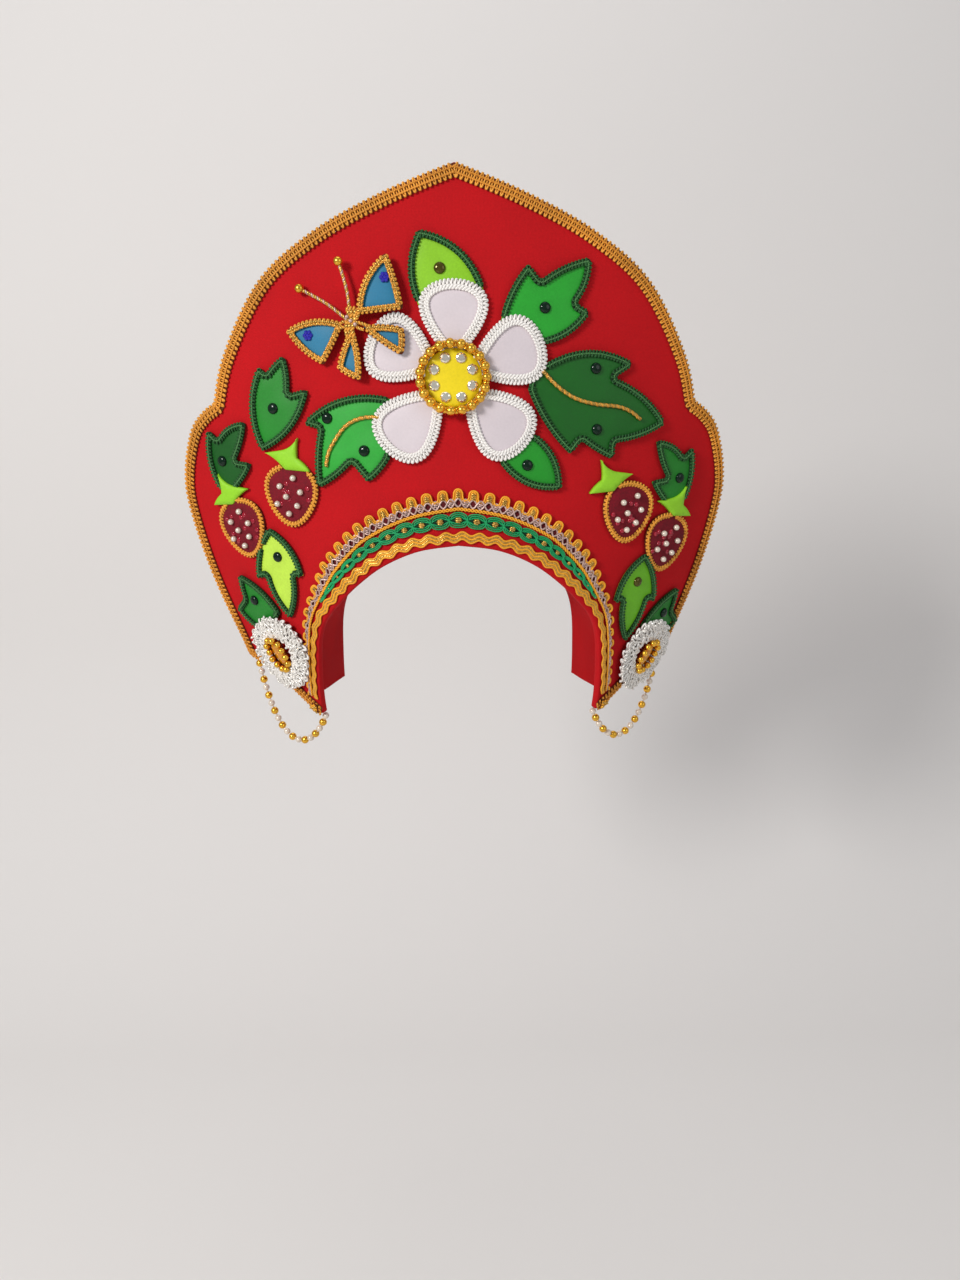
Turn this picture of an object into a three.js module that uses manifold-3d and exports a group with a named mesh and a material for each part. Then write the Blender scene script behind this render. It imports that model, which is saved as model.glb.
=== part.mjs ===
// Kokoshnik headdress: a stiff cloth crest on a head band, with braids, sewn-on flowers, leaves and
// berries, and a string of beads below each wing.
// The crest is cut from a flat pattern and wrapped on a cone. Each sewn-on piece is drawn on the flat
// pattern: across and up from the top of the arch, and out from the face of the crest.

import * as THREE from 'three';
import { mergeVertices } from 'three/addons/utils/BufferGeometryUtils.js';
import { TessellateModifier } from 'three/addons/modifiers/TessellateModifier.js';
import Module from 'manifold-3d';

const wasm = await Module();
wasm.setup();

// Crest, in millimetres and degrees
const crestHeight = 191;
const crestHalfWidth = 171;
const crestThickness = 4;
const archHalfWidth = 95;
const archDrop = 103;
const coneHalfAngle = 45;
const apexDepth = 182.6;
const cornerRounding = 3;

// Head band
const bandWall = 2.5;
const bandDepth = 62;
const bandRise = 16;
const bandTuck = 0.07;
const bandDrop = 6;
const bandLowerEnd = 0.93;
const bandSetback = 0.5;

// Clearance between pieces that touch, allowing for the facets of curved faces
const gap = 0.4;

// Braids
const edgeBraidWidth = 7.5;
const edgeBraidOverhang = 0.8;
const braidThickness = 2;
const archBraidWidth = 30.4;
const zigzagPitch = 8.6;
const zigzagShare = 0.6;

// Sewn-on pieces
const leafReach = 48;
const clothThickness = 1.2;
const trimThickness = 1.4;
const leafTrimWidth = 4;
const petalTrimWidth = 5.5;
const wingTrimWidth = 3.4;
const berryTrimWidth = 3.2;
const stoneDiameter = 6;
const stoneHeight = 1.6;

// Flower
const flowerAcross = -1.8;
const flowerUp = 87;
const petalStart = 10;
const petalReach = 50;
const petalWidth = 33;
const petalTaper = 0.45;
const discRadius = 15;
const discThickness = 2.6;
const discStoneCount = 8;
const discStoneCircle = 11;
const ringBeadCount = 19;
const ringBeadDiameter = 5.2;

// Lace flowers
const laceDiameter = 48;
const laceScallops = 9;
const laceScallopDepth = 2.6;
const laceGapCount = 9;
const laceGapDiameter = 3.4;
const laceThickness = 1.8;
const laceCentreLength = 22;
const laceCentreWidth = 15;
const laceBeadDiameter = 4;

// Butterfly
const wingReach = 20;
const wingLift = 3.4;
const bodyWidth = 9;
const bodyLength = 15;
const antennaWidth = 1.8;
const antennaBeadDiameter = 5;

// Bead strings
const stringBeadCount = 19;
const stringBeadPitch = 5.2;
const goldBeadDiameter = 4.8;
const pearlDiameter = 4.2;
const threadDiameter = 1.2;
const stringCornerShare = 0.17;
const stringCornerDrop = 1.5;
const stringTipDrop = 2.4;

// Half height of the solids that cut others
const tall = 20;

// Facets: how far a facet may lie inside the crest's curve, and the lengths of steps along lines
const facetSag = 0.2;
const longEdge = 24;
const edgeStep = 14;
const archStep = 12;
const roundSides = 10;

// Right half of the outline, peak to notch: shares of the crest's half width and height
const upperOutline = [
  { across: 0, up: 1 },
  { across: 0.22, up: 0.925 },
  { across: 0.427, up: 0.837 },
  { across: 0.611, up: 0.717 },
  { across: 0.754, up: 0.527 },
  { across: 0.81, up: 0.397 },
];

// Right half of the outline, notch to lower corner: shares of the crest's half width and height
const wingOutline = [
  { across: 0.81, up: 0.397 },
  { across: 0.865, up: 0.37 },
  { across: 0.927, up: 0.314 },
  { across: 0.988, up: 0.188 },
  { across: 1, up: 0.08 },
  { across: 0.97, up: -0.121 },
  { across: 0.915, up: -0.333 },
  { across: 0.906, up: -0.416 },
];

// Lower edge of the wing, from the arch's tip to the corner: shares of the arch's half width and drop
const lowerOutline = [
  { across: 1, up: -1 },
  { across: 1.01, up: -1.044 },
  { across: 1.105, up: -0.99 },
  { across: 1.253, up: -0.903 },
  { across: 1.453, up: -0.82 },
];

// Right half of the arch edge, middle to tip: shares of the arch's half width and drop
const archOutline = [
  { across: 0, up: 0 },
  { across: 0.23, up: -0.03 },
  { across: 0.44, up: -0.11 },
  { across: 0.61, up: -0.22 },
  { across: 0.74, up: -0.33 },
  { across: 0.84, up: -0.43 },
  { across: 0.9, up: -0.55 },
  { across: 0.945, up: -0.75 },
  { across: 1, up: -1 },
];

// Edges of the arch braids along the arch, as shares of the arch braids' width at the middle
const archBraidRows = [
  { along: 0, zigzagIn: 0.05, zigzagOut: 0.25, greenIn: 0.36, goldIn: 0.6, goldOut: 1 },
  { along: 0.3, zigzagIn: 0.05, zigzagOut: 0.25, greenIn: 0.33, goldIn: 0.52, goldOut: 0.89 },
  { along: 0.45, zigzagIn: 0.045, zigzagOut: 0.24, greenIn: 0.29, goldIn: 0.4, goldOut: 0.74 },
  { along: 0.57, zigzagIn: 0.04, zigzagOut: 0.21, greenIn: 0.24, goldIn: 0.26, goldOut: 0.5 },
  { along: 0.7, zigzagIn: 0.03, zigzagOut: 0.15, greenIn: 0.18, goldIn: 0.18, goldOut: 0.32 },
  { along: 1, zigzagIn: 0.03, zigzagOut: 0.13, greenIn: 0.16, goldIn: 0.16, goldOut: 0.25 },
];
const greenBraidEnd = 0.55;
const archBraidEnd = 0.94;

// Corners of the sewn-on shapes: turn in degrees anticlockwise, reach as a share of the shape's size,
// and bulge of the edge that follows, as a share of that edge's length
const patterns = {
  topLeaf: [
    { turn: 120, reach: 0.78, bulge: 0.14 },
    { turn: 245, reach: 0.85, bulge: 0 },
    { turn: 292, reach: 0.85, bulge: 0.1 },
    { turn: 337, reach: 0.9, bulge: 0.15 },
  ],
  lobedLeaf: [
    { turn: 46, reach: 1.08, bulge: 0.06 },
    { turn: 100, reach: 0.42, bulge: 0 },
    { turn: 112, reach: 0.72, bulge: 0.08 },
    { turn: 210, reach: 0.88, bulge: 0 },
    { turn: 272, reach: 0.56, bulge: 0.1 },
    { turn: 357, reach: 0.76, bulge: 0 },
    { turn: 368, reach: 0.52, bulge: 0.1 },
  ],
  rightLeaf: [
    { turn: -10, reach: 1, bulge: 0.08 },
    { turn: 49, reach: 0.43, bulge: 0 },
    { turn: 41.5, reach: 0.72, bulge: 0.16 },
    { turn: 153, reach: 0.78, bulge: 0 },
    { turn: 166, reach: 0.75, bulge: 0.06 },
    { turn: 246, reach: 0.57, bulge: 0 },
    { turn: 254, reach: 0.38, bulge: 0.04 },
    { turn: 298, reach: 0.66, bulge: 0 },
    { turn: 309, reach: 0.5, bulge: 0.06 },
  ],
  lowLeaf: [
    { turn: 80, reach: 0.68, bulge: 0 },
    { turn: 167, reach: 0.67, bulge: 0.16 },
    { turn: 326, reach: 0.9, bulge: 0.14 },
  ],
  leftLeaf: [
    { turn: 34, reach: 1.02, bulge: 0.14 },
    { turn: 166, reach: 0.76, bulge: 0 },
    { turn: 165, reach: 0.45, bulge: 0.05 },
    { turn: 239, reach: 0.99, bulge: 0.06 },
    { turn: 284, reach: 0.45, bulge: 0 },
    { turn: 296, reach: 0.84, bulge: 0.06 },
    { turn: 334, reach: 0.83, bulge: 0 },
  ],
  upperLeftLeaf: [
    { turn: 25, reach: 0.9, bulge: 0 },
    { turn: 36, reach: 0.48, bulge: 0.06 },
    { turn: 72, reach: 1.07, bulge: 0.06 },
    { turn: 98, reach: 0.68, bulge: 0 },
    { turn: 107, reach: 0.88, bulge: 0.14 },
    { turn: 248, reach: 0.92, bulge: 0.14 },
  ],
  sideTopLeaf: [
    { turn: -2, reach: 0.96, bulge: 0 },
    { turn: 3, reach: 0.45, bulge: 0.06 },
    { turn: 48, reach: 1.32, bulge: 0.12 },
    { turn: 96, reach: 0.57, bulge: 0 },
    { turn: 113, reach: 0.9, bulge: 0.14 },
    { turn: 265, reach: 0.96, bulge: 0.08 },
  ],
  sideMiddleLeaf: [
    { turn: 103, reach: 0.58, bulge: 0.1 },
    { turn: 220, reach: 0.78, bulge: 0 },
    { turn: 229, reach: 0.54, bulge: 0.1 },
    { turn: 276, reach: 1.24, bulge: 0.1 },
    { turn: 317, reach: 0.5, bulge: 0 },
    { turn: 326, reach: 0.68, bulge: 0.14 },
  ],
  sideLowLeaf: [
    { turn: -15, reach: 1.06, bulge: 0.1 },
    { turn: 121, reach: 0.92, bulge: 0.04 },
    { turn: 180, reach: 0.45, bulge: 0 },
    { turn: 203, reach: 1, bulge: 0.1 },
    { turn: 270, reach: 1, bulge: 0.05 },
  ],
  calyx: [
    { turn: 5, reach: 0.42, bulge: -0.04 },
    { turn: 58, reach: 0.95, bulge: -0.1 },
    { turn: 115, reach: 0.38, bulge: 0 },
    { turn: 166, reach: 1, bulge: -0.06 },
    { turn: 256, reach: 0.42, bulge: 0 },
    { turn: 333, reach: 1.08, bulge: 0.06 },
  ],
  upperWing: [
    { turn: 79, reach: 1.03, bulge: 0.13 },
    { turn: 221, reach: 0.83, bulge: 0 },
    { turn: 325, reach: 0.74, bulge: 0.03 },
  ],
  leftWing: [
    { turn: 26, reach: 0.79, bulge: 0.12 },
    { turn: 167, reach: 1, bulge: 0.08 },
    { turn: 278, reach: 0.71, bulge: 0.02 },
  ],
  rightWing: [
    { turn: 30, reach: 0.5, bulge: 0.05 },
    { turn: 161, reach: 0.95, bulge: 0.04 },
    { turn: 302, reach: 0.74, bulge: 0.08 },
  ],
  lowerWing: [
    { turn: 78, reach: 0.95, bulge: 0 },
    { turn: 94, reach: 0.95, bulge: 0.04 },
    { turn: 216, reach: 0.76, bulge: 0.06 },
    { turn: 293, reach: 1.05, bulge: 0.06 },
  ],
};

// Leaves: place as shares of the crest's half width and height, size as a share of the leaf's reach
const leafRows = [
  { name: 'leaf_top', pattern: 'topLeaf', across: -0.047, up: 0.738, size: 0.583,
    colour: 0x8ccd28 },
  { name: 'leaf_upper_right', pattern: 'lobedLeaf', across: 0.269, up: 0.639, size: 0.688,
    colour: 0x28aa32 },
  { name: 'leaf_right', pattern: 'rightLeaf', across: 0.421, up: 0.377, size: 1,
    colour: 0x0a6414 },
  { name: 'leaf_low_right', pattern: 'lowLeaf', across: 0.216, up: 0.22, size: 0.542,
    colour: 0x28aa32 },
  { name: 'leaf_left', pattern: 'leftLeaf', across: -0.351, up: 0.304, size: 0.688,
    colour: 0x28aa32 },
  { name: 'leaf_upper_left', pattern: 'upperLeftLeaf', across: -0.588, up: 0.381, size: 0.563,
    colour: 0x1e8c28 },
  { name: 'leaf_side_top_left', pattern: 'sideTopLeaf', across: -0.805, up: 0.233, size: 0.458,
    colour: 0x0a6414 },
  { name: 'leaf_side_top_right', pattern: 'sideTopLeaf', across: 0.777, up: 0.173, size: 0.458,
    colour: 0x1e8c28, mirror: true },
  { name: 'leaf_side_middle_left', pattern: 'sideMiddleLeaf', across: -0.622, up: -0.045, size: 0.625,
    colour: 0xc8f05a },
  { name: 'leaf_side_middle_right', pattern: 'sideMiddleLeaf', across: 0.64, up: -0.136, size: 0.625,
    colour: 0x64b41e, mirror: true },
  { name: 'leaf_side_low_left', pattern: 'sideLowLeaf', across: -0.764, up: -0.195, size: 0.417,
    colour: 0x1e8c28 },
  { name: 'leaf_side_low_right', pattern: 'sideLowLeaf', across: 0.81, up: -0.262, size: 0.417,
    colour: 0x1e8c28, mirror: true },
];

// Stones of the big leaves: shares of the leaf's size from its centre
const bigLeafStones = [
  { across: 0.05, up: 0.42 },
  { across: 0.08, up: -0.24 },
];
const leftLeafStone = { across: 0.32, up: -0.24 };

// Petals: turn in degrees anticlockwise from across, reach as a share of the petal's reach
const petalRows = [
  { turn: 89, reach: 0.98 },
  { turn: 22, reach: 1.02 },
  { turn: -44, reach: 1.04 },
  { turn: 226, reach: 1.04 },
  { turn: 154, reach: 0.97 },
];

// Berries: place as shares of the crest's half width and height, turn of the tip in degrees
const berryWidth = 33;
const berryHeight = 35;
const berryTaper = 0.22;
const berryThickness = 2.4;
const berryRows = [
  { across: -0.545, up: 0.138, turn: 0 },
  { across: -0.755, up: 0.035, turn: 14 },
  { across: 0.572, up: 0.08, turn: -6 },
  { across: 0.75, up: -0.022, turn: -10 },
];

// Calyxes: place as shares of the crest's half width and height
const calyxReach = 14;
const calyxRows = [
  { across: -0.55, up: 0.241, mirror: false },
  { across: -0.79, up: 0.136, mirror: true },
  { across: 0.503, up: 0.173, mirror: true },
  { across: 0.772, up: 0.089, mirror: false },
];

// Lace flowers: place as shares of the crest's half width and height, turn of the oval centre in degrees
const laceRows = [
  { name: 'lace_flower_left', across: -0.678, up: -0.358, turn: 125 },
  { name: 'lace_flower_right', across: 0.746, up: -0.396, turn: 55 },
];

// Butterfly: places as shares of the crest's half width and height, sizes as shares of the wing's reach
const wingRows = [
  { name: 'butterfly_wing_upper', pattern: 'upperWing', across: -0.222, up: 0.675, size: 1, stone: true },
  { name: 'butterfly_wing_left', pattern: 'leftWing', across: -0.415, up: 0.565, size: 1, stone: true },
  { name: 'butterfly_wing_right', pattern: 'rightWing', across: -0.197, up: 0.565, size: 0.85, stone: false },
  { name: 'butterfly_wing_lower', pattern: 'lowerWing', across: -0.316, up: 0.513, size: 0.65, stone: false },
];
const bodyPlace = { across: -0.311, up: 0.6 };
const antennaTips = [
  { across: -0.344, up: 0.757 },
  { across: -0.471, up: 0.694 },
];

const colours = {
  redCloth: 0xc41e28,
  goldBraid: 0xc88c32,
  yellowBraid: 0xeba528,
  greenBraid: 0x148250,
  zigzag: 0xf0af32,
  petal: 0xd7cdd4,
  crochet: 0xebe4e1,
  goldBead: 0xbe8214,
  yellowSatin: 0xdcc81e,
  leafTrim: 0x235f28,
  berry: 0x6e0a23,
  calyx: 0x96d732,
  blueSatin: 0x2387b4,
  lace: 0xd8d4d0,
  beadString: 0xc8a050,
};

const headdress = new THREE.Group();

function addPiece(name, geometry, colour, roughness = 0.8, metalness = 0) {
  geometry.computeVertexNormals();
  const material = new THREE.MeshStandardMaterial({ color: colour, roughness, metalness });
  const mesh = new THREE.Mesh(geometry, material);
  mesh.name = name;
  headdress.add(mesh);
}

// The cone of the crest

const coneAngle = THREE.MathUtils.degToRad(coneHalfAngle);

// Direction of a ruling of the cone, and of its outward normal, at a turn about the cone's axis
function coneFrame(turn) {
  const axis = new THREE.Vector3(0, Math.sin(coneAngle), Math.cos(coneAngle));
  const front = new THREE.Vector3(0, -Math.cos(coneAngle), Math.sin(coneAngle));
  const side = front.multiplyScalar(Math.cos(turn)).setX(Math.sin(turn));
  const ruling = axis.clone().multiplyScalar(Math.cos(coneAngle)).addScaledVector(side, Math.sin(coneAngle));
  const normal = side.clone().multiplyScalar(Math.cos(coneAngle)).addScaledVector(axis, -Math.sin(coneAngle));
  return { ruling, normal };
}

// Angle of the flat ruling that passes through a point of the pattern
function rulingAngle(point) {
  return Math.atan2(point.x, point.y + apexDepth);
}

// A point of the flat pattern wrapped on the cone
function onCrest(across, up, out) {
  const reach = Math.hypot(across, up + apexDepth);
  const turn = Math.atan2(across, up + apexDepth) / Math.sin(coneAngle);
  const { ruling, normal } = coneFrame(turn);
  return new THREE.Vector3(0, 0, -apexDepth).addScaledVector(ruling, reach).addScaledVector(normal, out);
}

// Closed geometry helpers

function mergedGeometry(geometry) {
  const bare = geometry.clone();
  bare.deleteAttribute('normal');
  bare.deleteAttribute('uv');
  return mergeVertices(bare);
}

// Moves each point of a closed geometry
function formed(geometry, move) {
  const result = mergedGeometry(geometry);
  const points = result.getAttribute('position');
  for (let i = 0; i < points.count; i += 1) {
    const moved = move(points.getX(i), points.getY(i), points.getZ(i));
    points.setXYZ(i, moved.x, moved.y, moved.z);
  }
  return result;
}

function solidOf(geometry) {
  const merged = mergedGeometry(geometry);
  const vertProperties = new Float32Array(merged.getAttribute('position').array);
  const triVerts = new Uint32Array(merged.getIndex().array);
  return new wasm.Manifold(new wasm.Mesh({ numProp: 3, vertProperties, triVerts }));
}

function geometryOf(solid) {
  const mesh = solid.getMesh();
  const geometry = new THREE.BufferGeometry();
  geometry.setAttribute('position', new THREE.BufferAttribute(mesh.vertProperties, 3));
  geometry.setIndex(new THREE.BufferAttribute(mesh.triVerts, 1));
  return geometry;
}

// Wraps a solid drawn on the flat pattern round the crest, raised by a lift. Its faces are first divided
// by their turn about the apex, because the crest is straight along its rulings.
function wrapped(solid, lift = () => 0) {
  const turnStep = Math.sqrt((8 * facetSag) / (apexDepth + crestHeight / 2));
  const turned = formed(geometryOf(solid), (x, y, z) => {
    const angle = Math.atan2(x, y + apexDepth);
    return new THREE.Vector3(angle / turnStep, Math.hypot(x, y + apexDepth) / apexDepth, z / apexDepth);
  });
  const fine = new TessellateModifier(1, 14).modify(turned);
  return formed(fine, (steps, share, out) => {
    const reach = share * apexDepth;
    const across = reach * Math.sin(steps * turnStep);
    return onCrest(across, reach * Math.cos(steps * turnStep) - apexDepth, out * apexDepth + lift(across));
  });
}

// Flat outlines

// A place on the pattern from shares of a width and a height
function placed(row, width, height) {
  return new THREE.Vector2(row.across * width, row.up * height);
}

function onPattern(row) {
  return placed(row, crestHalfWidth, crestHeight);
}

// Outline of a pattern, its bulged edges as arcs, from named corners
function patternOutline({ pattern, size, mirror = false }, full, centre) {
  const side = mirror ? -1 : 1;
  const corners = patterns[pattern].map(({ turn, reach }) => {
    const angle = THREE.MathUtils.degToRad(turn);
    const corner = new THREE.Vector2(side * Math.cos(angle), Math.sin(angle));
    return corner.multiplyScalar(reach * size * full).add(centre);
  });
  const outline = corners.flatMap((corner, i) => {
    const next = corners[(i + 1) % corners.length];
    return bulgedEdge(corner, next, side * patterns[pattern][i].bulge);
  });
  return mirror ? outline.reverse() : outline;
}

// Points from one corner up to the next, on an arc that stands out by twice the bulge at its control
function bulgedEdge(from, to, bulge) {
  if (bulge === 0) {
    return [from];
  }
  const chord = to.clone().sub(from);
  const outward = new THREE.Vector2(chord.y, -chord.x).multiplyScalar(2 * bulge);
  const control = from.clone().add(to).multiplyScalar(0.5).add(outward);
  const steps = chord.length() > longEdge ? 3 : 2;
  return new THREE.QuadraticBezierCurve(from, control, to).getPoints(steps).slice(0, -1);
}

// Egg-shaped outline, wide or narrow towards its far end
function eggOutline(centre, length, width, taper, turn, steps) {
  return Array.from({ length: steps }, (unused, i) => {
    const angle = (2 * Math.PI * i) / steps;
    const along = (length / 2) * Math.cos(angle);
    const beside = (width / 2) * Math.sin(angle) * (1 + taper * Math.cos(angle));
    return new THREE.Vector2(along, beside).rotateAround(new THREE.Vector2(), turn).add(centre);
  });
}

// Moves a line sideways: outward from a closed anticlockwise outline, or to the right of an open line
function offsetLine(line, distance, closed = true) {
  const count = line.length;
  return line.map((point, i) => {
    const before = closed ? line[(i + count - 1) % count] : line[Math.max(i - 1, 0)];
    const after = closed ? line[(i + 1) % count] : line[Math.min(i + 1, count - 1)];
    const into = point.clone().sub(before);
    const away = after.clone().sub(point);
    const first = (into.length() > 0 ? into : away).clone().normalize();
    const second = (away.length() > 0 ? away : into).clone().normalize();
    const mitre = first.clone().add(second).normalize();
    const stretch = 1 / Math.max(mitre.dot(first), 0.4);
    const amount = typeof distance === 'function' ? distance(i / (count - 1)) : distance;
    return point.clone().add(new THREE.Vector2(mitre.y, -mitre.x).multiplyScalar(amount * stretch));
  });
}

// Flat solids

// A slab with the given outline and holes, between two heights above the crest's face
function slab(outline, low, high, holes = []) {
  const shape = new THREE.Shape(outline);
  shape.holes = holes.map((hole) => new THREE.Path(hole));
  const geometry = new THREE.ExtrudeGeometry(shape, { depth: high - low, bevelEnabled: false });
  return solidOf(geometry.translate(0, 0, low));
}

function circleOutline(centre, radius, steps) {
  return eggOutline(centre, radius * 2, radius * 2, 0, 0, steps);
}

// A raised ring inside an outline: a strip along each edge, and a disc at each inward corner
function ringSlab(outline, width, low, high) {
  const count = outline.length;
  const strips = outline.flatMap((from, i) => {
    const to = outline[(i + 1) % count];
    const into = from.clone().sub(outline[(i + count - 1) % count]);
    const along = to.clone().sub(from);
    const inward = new THREE.Vector2(-along.y, along.x).setLength(width);
    const strip = slab([from, to, to.clone().add(inward), from.clone().add(inward)], low, high);
    const disc = into.cross(along) < 0 ? [slab(circleOutline(from, width, 8), low, high)] : [];
    return [strip, ...disc];
  });
  return strips.reduce((whole, strip) => whole.add(strip)).intersect(slab(outline, low, high));
}

// A cut stone with a table and eight facets, its base a little below the given height
function stone(place, height, diameter = stoneDiameter) {
  const radius = diameter / 2;
  const sink = 0.3;
  const profile = [
    new THREE.Vector2(0, -sink),
    new THREE.Vector2(radius, -sink),
    new THREE.Vector2(radius, stoneHeight * 0.25),
    new THREE.Vector2(radius * 0.6, stoneHeight),
    new THREE.Vector2(0, stoneHeight),
  ];
  const geometry = new THREE.LatheGeometry(profile, 8).rotateX(Math.PI / 2);
  return solidOf(geometry.translate(place.x, place.y, height));
}

// Crest outline

function splineLine(rows, width, height, step) {
  const curve = new THREE.SplineCurve(rows.map((row) => placed(row, width, height)));
  return curve.getSpacedPoints(Math.max(2, Math.round(curve.getLength() / step)));
}

function mirrored(line) {
  return line.map((point) => new THREE.Vector2(-point.x, point.y)).reverse();
}

const upperLine = splineLine(upperOutline, crestHalfWidth, crestHeight, edgeStep);
const wingLine = splineLine(wingOutline, crestHalfWidth, crestHeight, edgeStep);
const outerLine = [...upperLine, ...wingLine.slice(1)];
const lowerCorners = lowerOutline.map((row) => placed(row, archHalfWidth, archDrop));
const lowerLine = [...lowerCorners, outerLine.at(-1)];
const archLine = splineLine(archOutline, archHalfWidth, archDrop, archStep);
const innerLine = [...archLine, ...lowerLine.slice(1)];

// Point where a line that turns steadily about the apex crosses a ruling
function crossing(line, angle) {
  const after = Math.max(1, line.findIndex((point) => rulingAngle(point) >= angle));
  const from = line[after - 1];
  const to = line[after];
  const share = (angle - rulingAngle(from)) / (rulingAngle(to) - rulingAngle(from));
  return from.clone().lerp(to, share);
}

// Crest panel: a ruled slab between the outline and the arch and lower edges
function crestPanel() {
  const reach = outerLine.at(-1).length();
  const lastAngle = rulingAngle(outerLine.at(-1)) - cornerRounding / reach;
  const half = [...outerLine, ...lowerCorners].map(rulingAngle).filter((a) => a > 0 && a < lastAngle);
  const right = [...half, lastAngle].sort((a, b) => a - b);
  const angles = [...right.map((angle) => -angle).reverse(), 0, ...right];
  const columns = angles.map((angle) => {
    const side = Math.sign(angle) || 1;
    return [innerLine, outerLine].map((line) => {
      const point = crossing(line, Math.abs(angle));
      return point.setX(side * point.x);
    });
  });
  const box = new THREE.BoxGeometry(1, 1, 1, columns.length - 1, 1, 1);
  return formed(box, (x, y, z) => {
    const point = columns[Math.round((x + 0.5) * (columns.length - 1))][y < 0 ? 0 : 1];
    return onCrest(point.x, point.y, z < 0 ? -crestThickness : 0);
  });
}

// A ribbon on the crest between two flat lines with the same number of points
function ribbon(inner, outer, low, high) {
  const count = inner.length - 1;
  return formed(new THREE.BoxGeometry(1, 1, 1, count, 1, 1), (x, y, z) => {
    const point = (y < 0 ? inner : outer)[Math.round((x + 0.5) * count)];
    return onCrest(point.x, point.y, z < 0 ? low : high);
  });
}

// Edge braid: over the outline from the tip of one wing to the tip of the other
const tipLine = [...mirrored(outerLine).slice(0, -1), ...outerLine];
const tipCorners = lowerCorners.slice(1);
const braidLine = [...mirrored(tipCorners).reverse(), ...tipLine, ...[...tipCorners].reverse()];

function edgeBraid() {
  const inner = offsetLine(braidLine, edgeBraidWidth - edgeBraidOverhang, false);
  const outer = offsetLine(braidLine, -edgeBraidOverhang, false);
  return ribbon(inner, outer, gap, gap + braidThickness);
}

// Arch braids

const wholeArch = [...mirrored(archLine).slice(0, -1), ...archLine];

// Share of the way from the middle of the arch to its tip
function archShare(share) {
  return Math.abs(share * 2 - 1);
}

// A braid edge's distance from the arch, from the table of rows
function braidEdge(column) {
  return (share) => {
    const along = archShare(share);
    const next = Math.max(1, archBraidRows.findIndex((row) => row.along >= along));
    const from = archBraidRows[next - 1];
    const to = archBraidRows[next];
    const mix = (along - from.along) / (to.along - from.along);
    return -archBraidWidth * THREE.MathUtils.lerp(from[column], to[column], mix);
  };
}

// The stations of a line that lie within a share of the way to the arch's tips
function withinArch(line, end) {
  return line.filter((point, i) => archShare(i / (line.length - 1)) <= end);
}

function goldBraid() {
  const inner = withinArch(offsetLine(wholeArch, braidEdge('goldIn'), false), archBraidEnd);
  const outer = withinArch(offsetLine(wholeArch, braidEdge('goldOut'), false), archBraidEnd);
  return ribbon(inner, outer, gap, gap + braidThickness);
}

function greenBraid() {
  const outerEdge = braidEdge('goldIn');
  const inner = offsetLine(wholeArch, braidEdge('greenIn'), false);
  const outer = offsetLine(wholeArch, (share) => outerEdge(share) + gap, false);
  const lines = [inner, outer].map((line) => withinArch(line, greenBraidEnd));
  return ribbon(...lines, gap, gap + braidThickness);
}

// The zigzag turns at each half pitch, and swings from edge to edge of its band
function zigzagBraid() {
  const fine = splineLine(archOutline, archHalfWidth, archDrop, zigzagPitch / 2);
  const line = [...mirrored(fine).slice(0, -1), ...fine];
  const last = line.length - 1;
  const low = braidEdge('zigzagIn');
  const high = braidEdge('zigzagOut');
  const edge = (near, far) => (share) => {
    return THREE.MathUtils.lerp(low(share), high(share), Math.round(share * last) % 2 === 0 ? near : far);
  };
  const inner = offsetLine(line, edge(0, 1 - zigzagShare), false);
  const outer = offsetLine(line, edge(zigzagShare, 1), false);
  return ribbon(withinArch(inner, archBraidEnd), withinArch(outer, archBraidEnd), gap, gap + braidThickness);
}

// Head band: from the back of the crest along the arch, over the head
function headBand() {
  const columns = 2 * Math.round((archLine.length - 1) * bandLowerEnd);
  const rows = 2;
  const curve = new THREE.SplineCurve(archOutline.map((row) => placed(row, archHalfWidth, archDrop)));
  const front = Array.from({ length: columns + 1 }, (unused, i) => {
    const share = ((2 * i) / columns - 1) * bandLowerEnd;
    const point = curve.getPointAt(Math.abs(share));
    return point.setX(Math.sign(share) * point.x);
  });
  const walls = [offsetLine(front, -bandSetback, false), offsetLine(front, -bandSetback - bandWall, false)];
  const box = new THREE.BoxGeometry(1, 1, 1, columns, 1, rows);
  return formed(box, (x, y, z) => {
    const column = Math.round((x + 0.5) * columns);
    const start = walls[y < 0 ? 0 : 1][column];
    const back = 0.5 - z;
    const side = Math.abs((2 * column) / columns - 1);
    const point = onCrest(start.x, start.y, -crestThickness - gap);
    const rise = THREE.MathUtils.lerp(bandRise, -bandDrop, side ** 1.5) * back;
    return new THREE.Vector3(point.x * (1 - bandTuck * back), point.y + bandDepth * back, point.z + rise);
  });
}

addPiece('crest_panel', crestPanel(), colours.redCloth);
addPiece('head_band', headBand(), colours.redCloth);
addPiece('edge_braid', edgeBraid(), colours.goldBraid, 0.6, 0.2);
addPiece('arch_braid_gold', goldBraid(), colours.yellowBraid, 0.5, 0.3);
addPiece('arch_braid_green', greenBraid(), colours.greenBraid, 0.6);
addPiece('arch_braid_zigzag', zigzagBraid(), colours.zigzag, 0.6, 0.1);

// Sewn-on pieces, front ones first, each cut clear of those in front of it

const cutters = [];
const clothTop = gap + clothThickness;
const trimLow = clothTop + gap;
const trimTop = trimLow + trimThickness;
// Keeps sewn-on pieces clear of an outline, by the gap
function keepClear(outline) {
  cutters.push(slab(offsetLine(outline, gap), -tall, tall));
}

// The largest piece that is left of a solid once it is cut clear of the pieces in front
function cutClear(solid) {
  const rest = cutters.reduce((left, cutter) => left.subtract(cutter), solid);
  return rest.decompose().reduce((most, part) => (part.volume() > most.volume() ? part : most));
}

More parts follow.
